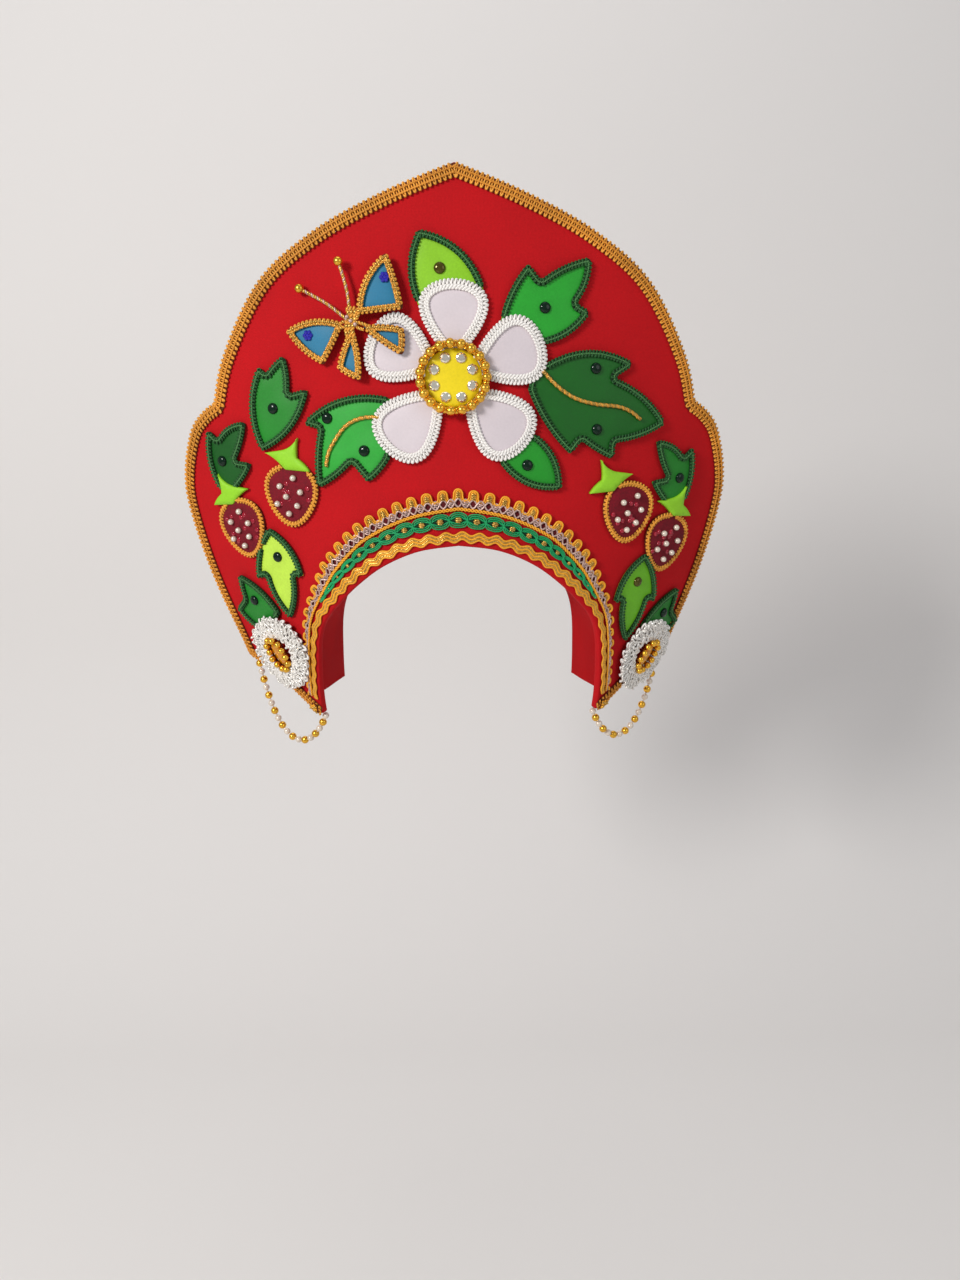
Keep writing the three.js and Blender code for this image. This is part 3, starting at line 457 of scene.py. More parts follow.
def runs_outside(path, covers):
    """The stretches of a closed path that no outline covers, and whether the whole path is free."""
    hidden = np.zeros(len(path), bool)
    for cover in covers:
        hidden |= inside(path, cover)
    if not hidden.any():
        return [(path, True)]
    start = int(np.argmax(hidden))
    path, hidden = np.roll(path, -start, 0), np.roll(hidden, -start)
    free_runs = np.split(path, np.flatnonzero(np.diff(hidden)) + 1)[1::2]
    return [(run, False) for run in free_runs if len(run) >= SHORTEST_RUN]


# Cords, braids and fills on the crest


def cord_on(shape, flat, out, radius, slot=0, sides=5, closed=False):
    """A cord through places on the pattern, at a height above the crest."""
    _, normal = cone_frame(flat)
    tube(shape, on_crest(flat, out), radius * MM, normal, slot, sides, closed)


def laid_cord(shape, path, beside, out, radius, closed, slot=0, sides=5, lift=no_lift):
    """A cord that runs along a flat path, displaced beside it and out from the crest."""
    flat = shifted(path, at_sides(path, closed), beside)
    cord_on(shape, flat, out + lift(flat[:, 0]), radius, slot, sides, closed)


def ribbon(shape, path, sides, rows, slot, closed=False, lift=no_lift):
    """A flat strip, from rows of an offset beside the path and a height."""
    lines = []
    for offset, out in rows:
        flat = shifted(path, sides, offset)
        lines.append(on_crest(flat, out + lift(flat[:, 0])))
    faces = grid_faces(len(path), len(rows), close_rows=closed)
    shape.add(np.stack(lines, axis=1), turned_over(faces), slot)


def strip(shape, path, half, low, high, closed, slot=0, lift=no_lift):
    """A flat strip with rounded edges along a path."""
    rows = [(half * share, out) for share, out in
            ((-1, low), (-0.93, high), (0, high + 0.1), (0.93, high), (1, low))]
    ribbon(shape, path, at_sides(path, closed), rows, slot, closed, lift)


def turns_along(path, closed, pitch, fine=8):
    """A path in fine steps for a whole number of turns, the share of its length, and their phase."""
    length = line_length(path, closed)
    turns = max(3, round(length / pitch))
    path = even_path(path, closed, length / (turns * fine))
    share = np.arange(len(path)) / (len(path) if closed else len(path) - 1)
    return path, share, share * turns * FULL_TURN


def gimp(shape, path, closed, width, pitch, low, slots=(0, 1, 2), thread=0.5, chain=0.92, lift=no_lift):
    """Looped braid: a thread that winds from edge to edge over a strip, with chain stitches along it.

    The slots are those of the loops, the chain and the strip; the strip's darker colour is painted shade
    between the threads.
    """
    length = line_length(path, closed)
    path, share, phase = turns_along(path, closed, pitch)
    half = width / 2
    ends = 1.0 if closed else np.clip(np.minimum(share, 1 - share) * length / 1.5, 0.25, 1)
    strip(shape, path, half * 0.8, low, low + 0.55, closed, slots[2], lift)
    swing = np.clip(1.35 * np.sin(phase), -1, 1)
    out = low + 0.75 + thread * 0.6 + 0.3 * np.cos(phase) * (1 - 0.5 * np.abs(swing))
    laid_cord(shape, path, (half - thread) * swing * ends, out, thread, closed, slots[0], 5, lift)
    wave, rise = 0.28 * np.sin(phase * 2), low + 0.9 + thread + 0.22 * np.cos(phase * 2)
    laid_cord(shape, path, wave, rise, thread * chain, closed, slots[1], 5, lift)


def twisted(shape, path, out, radius, slots, pitch=3.2, closed=False, lift=no_lift):
    """Strands twisted into one cord, one for each slot."""
    fine = 9
    path = even_path(path, closed, pitch / fine)
    for start, slot in zip(around(len(slots)), slots):
        angle = np.arange(len(path)) * FULL_TURN / fine + start
        beside, rise = radius * 0.5 * np.cos(angle), out + radius * 0.5 * np.sin(angle)
        laid_cord(shape, path, beside, rise, radius * 0.56, closed, slot, 6, lift)


def crochet(shape, path, closed, width, low, pitch):
    """A crocheted rim: stitches that stand across its outer half, and a smooth chain along its inner one."""
    path, _, phase = turns_along(path, closed, pitch)
    # a greyish strip under the stitches: painted shade between them
    strip(shape, path, width * 0.42, low, low + 0.5, closed, 1)
    stitches = -width * 0.22 + (width * 0.28 - 0.45) * np.clip(1.4 * np.sin(phase), -1, 1)
    laid_cord(shape, path, stitches, low + 0.95 + 0.35 * np.cos(phase), 0.55, closed)
    for k in range(2):
        wave = 0.3 * np.sin(phase + k * math.pi)
        rise = low + 1.15 + 0.25 * np.cos(phase + k * math.pi)
        laid_cord(shape, path, width * (0.16 + 0.2 * k) + wave, rise, 0.66, closed, 0, 6)


def triangles_inside(loop, spots):
    """Triangles that fill a closed loop, with spots among their corners."""
    count = len(loop)
    corners = [Vector(p) for p in np.concatenate([loop, spots]).tolist()]
    edges = [(i, (i + 1) % count) for i in range(count)]
    found, _, faces, *_ = delaunay_2d_cdt(corners, edges, [], 1, 1e-5)
    return np.array([tuple(p) for p in found]), [tuple(face) for face in faces]


def fill(shape, outline, edge, top, slot=0, base=0.4, pitch=2.2, ripple=0.0, seed=0, lift=no_lift):
    """A cloth piece inside an outline: it rises round at its edge and lies softly across its middle."""
    rng = np.random.default_rng(seed)
    waves = rng.uniform(0.05, 0.16, (5, 2)) * rng.choice([-1, 1], (5, 2))
    starts = rng.uniform(0, 6.28, 5)
    loop = even_path(outline, True, 1.1)
    inward = at_sides(loop, True)
    brow = loop + inward * 0.35
    low, high = loop.min(axis=0), loop.max(axis=0)
    across, up = np.meshgrid(np.arange(low[0], high[0], pitch), np.arange(low[1], high[1], pitch * 0.87))
    across = across + (np.arange(len(across)) % 2)[:, None] * pitch / 2
    spots = np.stack([across.ravel(), up.ravel()], axis=-1)
    spots = spots[inside(spots, loop)]
    flat, faces = triangles_inside(brow, spots[nearest(spots, brow) > pitch * 0.55])
    soft = 1 - np.exp(-nearest(flat, brow) / 3.0)
    folds = sum(np.sin(flat @ wave * 2.2 + start) for wave, start in zip(waves, starts)) / 5

    def raised(points, out):
        return on_crest(points, out + lift(points[:, 0]))

    shape.add(raised(flat, edge + (top - edge) * soft + ripple * folds * soft), faces, slot, flat)
    rows = [raised(loop, base), raised(loop - inward * 0.05, base + 0.6 * (edge - base)), raised(brow, edge)]
    edge_faces = grid_faces(len(rows), len(loop), close_columns=True)
    shape.add(np.stack(rows), edge_faces, slot, np.stack([loop, loop, brow]))
    floor, faces = triangles_inside(loop, np.empty((0, 2)))
    shape.add(raised(floor, base), turned_over(faces), slot, floor)


def cut_cloth(name, node, look, outline, levels, ripple, seed, lift=no_lift):
    """A cut piece of cloth that is sewn flat on the crest: its look is a material and a slot, and the slot is
    not used.
    """
    material, slot = look
    shape = Shape()
    fill(shape, outline, *levels, ripple=ripple, seed=seed, lift=lift)
    piece = shape.build(name, [material], [node], slot, weld=True)


# Materials

# Length of one wave of the wave texture at scale 1
WAVE_PERIOD = 0.314
FIBRE_SCALE = 900.0


def linear(colour):
    return [((c / 255 + 0.055) / 1.055) ** 2.4 if c > 10 else c / 255 / 12.92 for c in colour] + [1.0]


class Surface:
    """A material with its shader, and nodes that are added to it."""

    def __init__(self, name):
        self.material = bpy.data.materials.new(name)
        self.material.use_nodes = True
        self.shader = self.material.node_tree.nodes["Principled BSDF"]

    def set(self, node, inputs):
        """Gives a node's inputs their values, or links them to another node's output."""
        for key, value in inputs.items():
            if isinstance(value, bpy.types.NodeSocket):
                self.material.node_tree.links.new(value, node.inputs[key])
            else:
                node.inputs[key].default_value = value

    def add(self, kind, output, inputs, **settings):
        """Adds a node and gives its output."""
        node = self.material.node_tree.nodes.new("ShaderNode" + kind)
        for key, value in settings.items():
            setattr(node, key, value)
        self.set(node, inputs)
        return node.outputs[output]

    def weave(self, pitch, fibres):
        """Relief of crossed threads at a pitch in millimetres, with fibres on them."""
        place = self.add("TexCoord", "UV", {})
        shape = {"Vector": place, "Scale": WAVE_PERIOD / pitch, "Distortion": 0.6, "Detail Scale": 1.5}
        warp, weft = (self.add("TexWave", "Fac", shape, bands_direction=direction) for direction in "XY")
        crossed = self.add("Math", "Value", {0: warp, 1: weft}, operation="MULTIPLY")
        return self.add("Math", "Value", {0: fibres, 1: 0.4, 2: crossed}, operation="MULTIPLY_ADD")


def cloth(name, colour, dark=0.6, light=1.15, rough=0.5, bump=0.2, weave=0.0, metal=0.0, patch=30.0,
          grain=0.5, spread=0.08, gloss=0.35, **coat):
    """Cloth or thread: two tones in soft patches and fine grain, with a woven or fibrous relief."""
    surface = Surface(name)
    base = np.array(linear(colour)[:3])
    place = surface.add("TexCoord", "Object", {})
    soft = surface.add("TexNoise", "Fac", {"Vector": place, "Scale": patch, "Detail": 3.0})
    fine = surface.add("TexNoise", "Fac", {"Vector": place, "Scale": FIBRE_SCALE, "Detail": 4.0})
    patches = surface.add("Math", "Value", {0: soft, 1: 1 - grain}, operation="MULTIPLY")
    mix = surface.add("Math", "Value", {0: fine, 1: grain, 2: patches}, operation="MULTIPLY_ADD")
    tone = surface.add("ValToRGB", "Color", {"Fac": mix})
    for element, at, share in zip(tone.node.color_ramp.elements, (0.3, 0.7), (dark, light)):
        element.position = at
        element.color = (*np.clip(base * share, 0, 1), 1)
    smoothest, roughest = max(0.05, rough - spread), min(1.0, rough + spread)
    roughness = surface.add("MapRange", "Result", {"Value": mix, "To Min": smoothest, "To Max": roughest})
    relief = surface.weave(weave, fine) if weave > 0 else fine
    normal = surface.add("Bump", "Normal", {"Height": relief, "Strength": bump, "Distance": 0.0003})
    surface.set(surface.shader, {"Base Color": tone, "Roughness": roughness, "Normal": normal,
                                 "Metallic": metal, "Specular IOR Level": gloss, **coat})
    return surface.material


def shade_strip(name, colour, dark=0.6, light=1.2):
    """The strip under a braid's threads, darker than them: painted shade in the gaps between the threads."""
    return cloth(name, colour, dark, light, rough=0.9, bump=0.3)


def satin(name, colour, dark, light, rough, bump=0.15, patch=30.0):
    return cloth(name, colour, dark, light, rough, bump, weave=0.5, patch=patch)


def hard(name, colour, rough, metal, dark, coat=0.0, gloss=0.6):
    """A bead or a stone: nearly smooth, under a clear coat where it has one."""
    return cloth(name, colour, dark, rough=rough, bump=0.03, metal=metal, spread=0.05, gloss=gloss,
                 **{"Coat Weight": coat, "Coat Roughness": 0.08})


red_cloth = cloth("red_cloth", (186, 18, 25), 0.86, 1.06, 0.85, 0.3, weave=0.7, gloss=0.15)
# The band is the crest's red cloth; its darker red is painted shade, as the band's inside lies in shadow
band_cloth_painted_shade = cloth("band_cloth_painted_shade", (172, 10, 17), 0.8, 1.1, 0.9, 0.3, weave=0.8, gloss=0.05)
velvet = cloth("berry_velvet", (120, 4, 26), 0.55, 1.2, 0.85, 0.5, patch=160.0)
ochre = cloth("ochre_thread", (236, 164, 60), 0.62, metal=0.1)
ochre_chain = cloth("ochre_chain", (224, 148, 50), metal=0.1)
yellow = cloth("yellow_thread", (244, 170, 42), 0.75, 1.08)
gold_thread = cloth("gold_thread", (228, 182, 92), 0.35, 1.2, 0.3, 0.4, metal=0.8, grain=0.8)
silver_pink = cloth("silver_pink_thread", (222, 188, 178), 0.4, 1.15, 0.35, 0.4, metal=0.5, grain=0.8)
green_thread = cloth("green_thread", (18, 158, 94), 0.65)
leaf_thread = cloth("leaf_thread", (32, 88, 38), 0.5, 1.3, 0.62, 0.25, grain=0.7)
leaf_stitch = cloth("leaf_stitch", (84, 140, 80), 0.7, 1.2, 0.6)
white_thread = cloth("white_thread", (246, 242, 238), 0.84, 1.0, 0.75, 0.3)
# Strips under the braids' threads, darker copies of the threads or of the cloth beside them: painted shade
# between the threads
painted_shade_brown = shade_strip("brown_painted_shade", (104, 48, 16), light=1.1)
painted_shade_burgundy = shade_strip("burgundy_painted_shade", (92, 12, 20))
green_painted_shade = shade_strip("green_painted_shade", (8, 56, 36))
leaf_painted_shade = shade_strip("leaf_painted_shade", (14, 48, 20))
white_painted_shade = shade_strip("white_painted_shade", (178, 168, 164), 0.8, 1.05)
petal_satin = satin("petal_satin", (214, 203, 208), 0.92, 1.02, 0.42, 0.12)
disc_satin = satin("disc_satin", (238, 214, 26), 0.85, 1.04, 0.36)
wing_satin = satin("wing_satin", (4, 112, 150), 0.9, 1.06, 0.45)
calyx_satin = satin("calyx_satin", (146, 210, 38), 0.88, 1.04, 0.55)
gold_bead = hard("gold_bead", (240, 184, 66), 0.24, 0.95, 0.75)
pearl = hard("pearl_bead", (218, 205, 190), 0.2, 0.25, 0.9, coat=0.4)
silver_bead = hard("silver_bead", (236, 232, 226), 0.25, 0.3, 0.8, coat=0.2)
crimson_bead = hard("crimson_bead", (168, 12, 44), 0.1, 0.1, 0.5, coat=0.2)
clear_stone = hard("clear_stone", (250, 238, 222), 0.08, 0.85, 0.8)
green_stone = hard("green_stone", (2, 34, 18), 0.1, 0.0, 0.5, gloss=0.3)
olive_stone = hard("olive_stone", (92, 84, 16), 0.1, 0.5, 0.4)
blue_stone = hard("blue_stone", (46, 40, 186), 0.07, 0.1, 0.35, coat=0.2)
amber_stone = hard("amber_stone", (214, 138, 14), 0.1, 0.2, 0.7, coat=0.5)

# Crest and head band

CREST_SIZE = np.array([HALF_WIDTH, HEIGHT])
ARCH_SIZE = np.array([ARCH_WIDTH, ARCH_DROP])
upper_line = catmull(np.array(UPPER) * CREST_SIZE, 90)
wing_line = catmull(np.array(WING) * CREST_SIZE, 70)
outer_line = np.concatenate([upper_line, wing_line[1:]])
lower_line = np.concatenate([np.array(LOWER) * ARCH_SIZE, outer_line[-1:]])
inner_line = np.concatenate([catmull(np.array(ARCH) * ARCH_SIZE, 90), lower_line[1:]])


def ruling_angle(points):
    return np.arctan2(points[:, 0], points[:, 1] + APEX)


def closed_wall(rows, coords, turn_over=False):
    """A wall of cloth that is closed all round, from lines along it and their places on the cloth."""
    shape = Shape()
    first, last = end_faces(len(rows[0]), len(rows))
    faces = grid_faces(len(rows[0]), len(rows), close_columns=True) + [first, last[::-1]]
    shape.add(np.stack(rows, axis=1), turned_over(faces) if turn_over else faces, 0, np.stack(coords, axis=1))
    return shape


# The crest's rounded edges: side of the crest as a share, millimetres past it, and height
OUTER_EDGE = [(1, 0.45, -0.5), (1, 0.8, -1.4), (1, 0.8, -2.6), (1, 0.45, -3.5)]
INNER_EDGE = [(0, -0.3, -3.5), (0, -0.5, -2.6), (0, -0.5, -1.4), (0, -0.3, -0.5)]
PUCKER = 0.12
CORNER_GAP = 3.0


def crest_panel():
    """Board under cloth, with soft rounded edges and faint puckers along the braids."""
    last = ruling_angle(outer_line)[-1] - CORNER_GAP / np.hypot(*outer_line[-1])
    half = np.linspace(0, last, 121)
    inner, outer = (both_halves(read_at(half, ruling_angle(line), line)) for line in (inner_line, outer_line))
    ahead = unit(outer - inner)
    across = np.linspace(0, 1, 40)
    section = [(share, 0.0, 0.0) for share in across] + OUTER_EDGE
    section += [(share, 0.0, -THICKNESS) for share in across[::-1]] + INNER_EDGE
    rows, coords = [], []
    for share, past, out in section:
        flat = inner + (outer - inner) * share + ahead * past
        x, y = flat.T
        puckers = PUCKER * np.sin(x * 0.11 + 1.3 * np.sin(y * 0.05)) * np.sin(y * 0.09)
        dents = (puckers - PUCKER) * np.sin(math.pi * share) if out == 0 else 0
        rows.append(on_crest(flat, out + dents))
        coords.append(flat)
    closed_wall(rows, coords, turn_over=True).build("crest_cloth", [red_cloth], ["crest_panel"], "red_cloth")


BAND_END, BAND_DEPTH, BAND_NARROWING = 0.93, 62.0, 0.07
BAND_RISE, BAND_SINK, BAND_GAP = 16.0, -6.0, 0.4
# The band's front and back edges: share of its depth, place through its wall, and share of the folds
BACK_EDGE = [(1.004, 0.9, 0.3), (1.008, 1.75, 0.0), (1.004, 2.6, 0.3)]
FRONT_EDGE = [(-0.004, 2.6, 0.0), (-0.006, 1.75, 0.0), (-0.004, 0.9, 0.0)]


def head_band():
    """Cloth that runs back from the arch, turned in at its back edge, with soft drag folds."""
    across = np.linspace(-1, 1, 181)
    arch = catmull(np.array(ARCH) * ARCH_SIZE, 600)
    front = read_at(np.abs(across) * BAND_END * (len(arch) - 1), np.arange(len(arch)), arch)
    front[:, 0] *= np.sign(across)
    beside = at_sides(front, False)
    rise = BAND_RISE + (BAND_SINK - BAND_RISE) * np.abs(across) ** 1.5
    rng = np.random.default_rng(3)
    folds = [(rng.uniform(0.03, 0.09), rng.uniform(-1.2, 1.2), rng.uniform(0, 6.28)) for _ in range(7)]
    along = travelled(front)
    back = np.linspace(0, 1, 44)
    section = [(depth, 0.5, 1.0) for depth in back] + BACK_EDGE
    section += [(depth, 3.0, 1.0) for depth in back[::-1]] + FRONT_EDGE
    rows, coords = [], []
    for depth, wall, soft in section:
        crease = sum(np.sin(along * f * 2 + depth * 6 * slant + start) for f, slant, start in folds) / 7
        shift = wall + 0.9 * crease * math.sin(math.pi * min(max(depth, 0), 1)) ** 0.7 * soft
        x, y, z = (on_crest(shifted(front, beside, shift), -THICKNESS - BAND_GAP) * 1000.0 - SEAT).T
        moved = np.stack([x * (1 - BAND_NARROWING * depth), y + BAND_DEPTH * depth, z + rise * depth], -1)
        rows.append((moved + SEAT) * MM)
        coords.append(np.stack([along, np.full(len(along), depth * BAND_DEPTH + wall)], axis=-1))
    band = closed_wall(rows, coords).build("band_cloth_painted_shade", [band_cloth_painted_shade], ["head_band"], "red_cloth")


crest_panel()
head_band()

# Edge braid

EDGE_WIDTH, EDGE_OVER, EDGE_PITCH = 7.5, 0.8, 2.7
edge_path = both_halves(np.concatenate([outer_line, lower_line[1:-1][::-1]]))


def edge_braid():
    """Three rows of fine loops over the outline and along the lower edges."""
    shape = Shape()
    path = smoothed(evenly(edge_path, 2200), 6)
    path = path - at_sides(path, False) * (EDGE_WIDTH / 2 - EDGE_OVER)
    path, _, phase = turns_along(path, False, EDGE_PITCH, 12)
    half, thread = EDGE_WIDTH / 2, 0.5
    # a brown strip under the loops: painted shade between them
    strip(shape, path, half * 0.86, 0.4, 0.95, False, 2)
    swing = (half - 0.45) * np.clip(1.5 * np.sin(phase), -1, 1)
    laid_cord(shape, path, swing, 1.25 + 0.28 * np.cos(phase), thread, False)
    for centre in (-1.25, 1.25):
        chain = centre + 0.32 * np.sin(phase * 2 + centre)
        rise = 1.75 + 0.2 * np.cos(phase * 2)
        laid_cord(shape, path[::2], chain[::2], rise[::2], thread, False, 1)
    shape.build("edge_gimp", [ochre, ochre_chain, painted_shade_brown], ["edge_braid"], "edge_braid")


edge_braid()

# Arch braids

ARCH_STEP, ARCH_WINDOW = 0.5, 15.0
arch_path = both_halves(catmull(np.array(ARCH) * ARCH_SIZE, 1500))
arch_length = line_length(arch_path)


def broad_sides(path):
    """Directions to the left of a path, each averaged over a window of its length."""
    reach = int(ARCH_WINDOW / ARCH_STEP)
    sides = np.pad(at_sides(path, False), ((reach, reach), (0, 0)), mode="edge")
    window = np.ones(2 * reach + 1) / (2 * reach + 1)
    return unit(np.stack([np.convolve(column, window, mode="valid") for column in sides.T], axis=-1))


class ArchBraid:
    """A braid beside the arch, whose threads are drawn as distance along it and offset from it.

    Its two edges are columns of the table of braids. Its way runs from -1 at the left tip of the arch to 1.
    """

    path = smoothed(evenly(arch_path, int(arch_length / ARCH_STEP)), 4)
    sides = broad_sides(path)
    way = np.linspace(-1, 1, len(path))
    distance = way * arch_length / 2
    half = distance[-1]

    def __init__(self, end, inner, outer, gap=0.0):
        self.shape, self.end, self.inner, self.outer, self.gap = Shape(), end, inner, outer, gap

    def stations(self):
        """Path, directions to its left, way and distance, between the braid's ends."""
        keep = np.abs(self.way) <= self.end
        return self.path[keep], self.sides[keep], self.way[keep], self.distance[keep]

    def edge(self, way, share):
        """Offset at a share of the braid's width."""
        inner, outer = (BRAID_WIDTH * np.interp(np.abs(way), BRAID_ROWS["along"], BRAID_ROWS[column])
                        for column in (self.inner, self.outer))
        return inner * (1 - share) + (outer - self.gap) * share

    def narrowed(self, way, full, least):
        """The braid's width as a share of its full width, and at least so much."""
        return np.clip((self.edge(way, 1) - self.edge(way, 0)) / full, least, 1)

    def strip(self, low, high, slot):
        """The strip under the threads, between two shares of the width, in a darker colour that is painted
        shade between the threads.
        """
        path, sides, way, _ = self.stations()
        near, far = (self.edge(way, share) for share in (low, high))
        rows = [(near + (far - near) * share, out)
                for share, out in ((0, 0.4), (0.04, 0.85), (0.5, 0.9), (0.96, 0.85), (1, 0.4))]
        ribbon(self.shape, path, sides, rows, slot)

    def thread(self, line, out, radius, slot):
        along, offset = line.T
        flat, side = (read_at(along, self.distance, line) for line in (self.path, self.sides))
        cord_on(self.shape, flat + side * offset[:, None], out, radius, slot)

    def loops(self, pitch, low, high, lean=0.0, wide=0.0, turn=0.0, fine=22):
        """Round loops between two shares of the width: their line, their phase and their way."""
        reach = self.half * self.end
        base = np.arange(-reach, reach, pitch / fine)
        phase = base / pitch * FULL_TURN + turn
        along = base + pitch * (lean * np.sin(2 * phase) + wide * np.sin(phase))
        way = base / self.half
        near, far = self.edge(way, low), self.edge(way, high)
        return np.stack([along, near + (far - near) * (1 + np.cos(phase)) / 2], axis=-1), phase, way

    def knot(self, along, low, high, out, radius, thread, slot, turns):
        """A small knot: a thread wound round a bar that stands across the braid."""
        near, far = (self.edge(along / self.half, share) for share in (low, high))
        share = np.linspace(0, 1, turns * 9)
        angle = share * turns * FULL_TURN
        swell = radius * np.sqrt(np.clip(1 - (2 * share - 1) ** 2 * 0.8, 0, 1))
        line = np.stack([along + swell * np.cos(angle), near + (far - near) * share], axis=-1)
        self.thread(line, out + 0.55 * swell * np.sin(angle), thread, slot)

    def knot_steps(self, pitch):
        count = int(self.half * self.end / pitch)
        return range(-count, count + 1)


# Folded ends of the gold braid at a wing tip: across and up, on the right side
BRAID_FOLDS = (((95.2, -100.4), (101.4, -102.8)), ((95.8, -104.6), (100.6, -100.6)))


def gold_braid():
    """Yellow loops round metallic knots, over crossed silver threads and a yellow chain."""
    braid, pitch, full = ArchBraid(0.95, "gold_in", "gold_out"), 6.4, 11.0
    # a dark red strip under the threads: painted shade of the red cloth between them
    braid.strip(0.06, 0.58, 2)
    # yellow loops along the outer edge, of two threads side by side
    loops, phase, way = braid.loops(pitch, 0.5, 0.965, lean=0.07, wide=0.035)
    braid.thread(loops, 1.5 + 0.25 * np.cos(phase), 0.52, 0)
    beside = shifted(loops, at_sides(loops, False), -0.85 * braid.narrowed(way, full, 0.3))
    braid.thread(beside, 1.35 + 0.25 * np.cos(phase), 0.45, 0)
    # silver and pink threads that cross below them
    for turn in (0, math.pi):
        cross, phase, _ = braid.loops(pitch, 0.2, 0.56, turn=turn, fine=14)
        braid.thread(cross, 1.4 + 0.35 * np.cos(phase / 2), 0.55, 3)
    # yellow chain on the inner edge
    for turn in (0, math.pi):
        chain, phase, _ = braid.loops(pitch / 2, 0.05, 0.15, turn=turn, fine=12)
        braid.thread(chain, 1.3 + 0.25 * np.sin(phase), 0.48, 0)
    # metallic knots inside the loops and where the threads cross
    steps = braid.knot_steps(pitch)
    for k in steps:
        size = braid.narrowed(k * pitch / braid.half, full, 0.35)
        braid.knot(k * pitch, 0.56, 0.85, 1.55, 1.0 * size, 0.4 * size, 1, 4)
        if k < steps[-1]:
            braid.knot((k + 0.5) * pitch, 0.3, 0.46, 1.5, 0.9 * size, 0.38 * size, 3, 2)
    # the braid's ends, folded over each wing tip
    for side in (-1, 1):
        for fold in BRAID_FOLDS:
            gimp(braid.shape, evenly(np.array(fold) * np.array([side, 1]), 20), False, 4.2, 2.0, 2.0)
    materials = [yellow, gold_thread, painted_shade_burgundy, silver_pink]
    braid.shape.build("arch_gold_gimp", materials, ["arch_braid_gold"], "gold_braid")


def green_braid():
    """Three threads side by side that swing round each knot, over and under those of the other way."""
    braid, pitch, full = ArchBraid(0.55, "green_in", "gold_in", gap=0.4), 8.5, 7.0
    # a dark green strip under the threads: painted shade between them
    braid.strip(0.1, 0.7, 1)
    for turn in (0, math.pi):
        loops, phase, way = braid.loops(2 * pitch, -0.17, 0.97, lean=0.085, turn=turn, fine=44)
        beside = at_sides(loops, False) * np.clip(2.5 * np.cos(phase), -1, 1)[:, None]
        for k in range(3):
            line = shifted(loops, beside, -1.05 * k * braid.narrowed(way, full, 0.12))
            braid.thread(line, 1.4 + 0.35 * np.sin(phase), 0.42, 0)
    for k in braid.knot_steps(pitch):
        size = braid.narrowed(k * pitch / braid.half, full, 0.2)
        braid.knot(k * pitch, 0.2, 0.6, 1.7, 1.5 * size, 0.5 * size, 2, 3)
    materials = [green_thread, green_painted_shade, gold_thread]
    braid.shape.build("arch_green_gimp", materials, ["arch_braid_green"], "green_braid")


def zigzag_braid():
    """Five twisted threads side by side that swing together, every second one of gold."""
    braid = ArchBraid(0.955, "zigzag_in", "zigzag_out")
    path, sides, way, distance = braid.stations()
    low, high = (braid.edge(way, share) for share in (0, 1))
    middle = (low + high) / 2 + 0.15 * (high - low) * np.sin(distance / 8.6 * FULL_TURN)
    for k in range(5):
        share = (k / 4 - 0.5) * 0.62
        ripple = 0.12 * np.sin(distance * FULL_TURN / 1.3 + k * 2.1)
        flat = shifted(path, sides, middle + share * (high - low))
        cord_on(braid.shape, flat, 1.0 + ripple + 0.25 * (1 - abs(share) * 2), 0.52, k % 2, 6)
    braid.shape.build("arch_zigzag_braid", [yellow, gold_thread], ["arch_braid_zigzag"], "zigzag_braid")


gold_braid()
green_braid()
zigzag_braid()

# Lace flowers

# Name, across and up as shares of the crest, and turn of the middle in degrees
LACE = (("left", -0.678, -0.358, 125.0), ("right", 0.746, -0.396, 55.0))
# Rounds of crochet: radius, swing, number of loops, thickness and height
LACE_ROUNDS = ((21.0, 2.2, 27, 0.62, 3.3), (19.0, 2.6, 36, 0.6, 3.9), (16.2, 2.4, 30, 0.6, 3.5),
               (14.0, 2.6, 26, 0.62, 4.1), (11.6, 2.0, 22, 0.6, 3.6), (20.0, 2.4, 18, 0.55, 4.2),
               (12.8, 3.0, 16, 0.55, 4.4))
SEED_BEADS, SEED_RADIUS, SEED_REACH = 130, 0.00085, 23.0


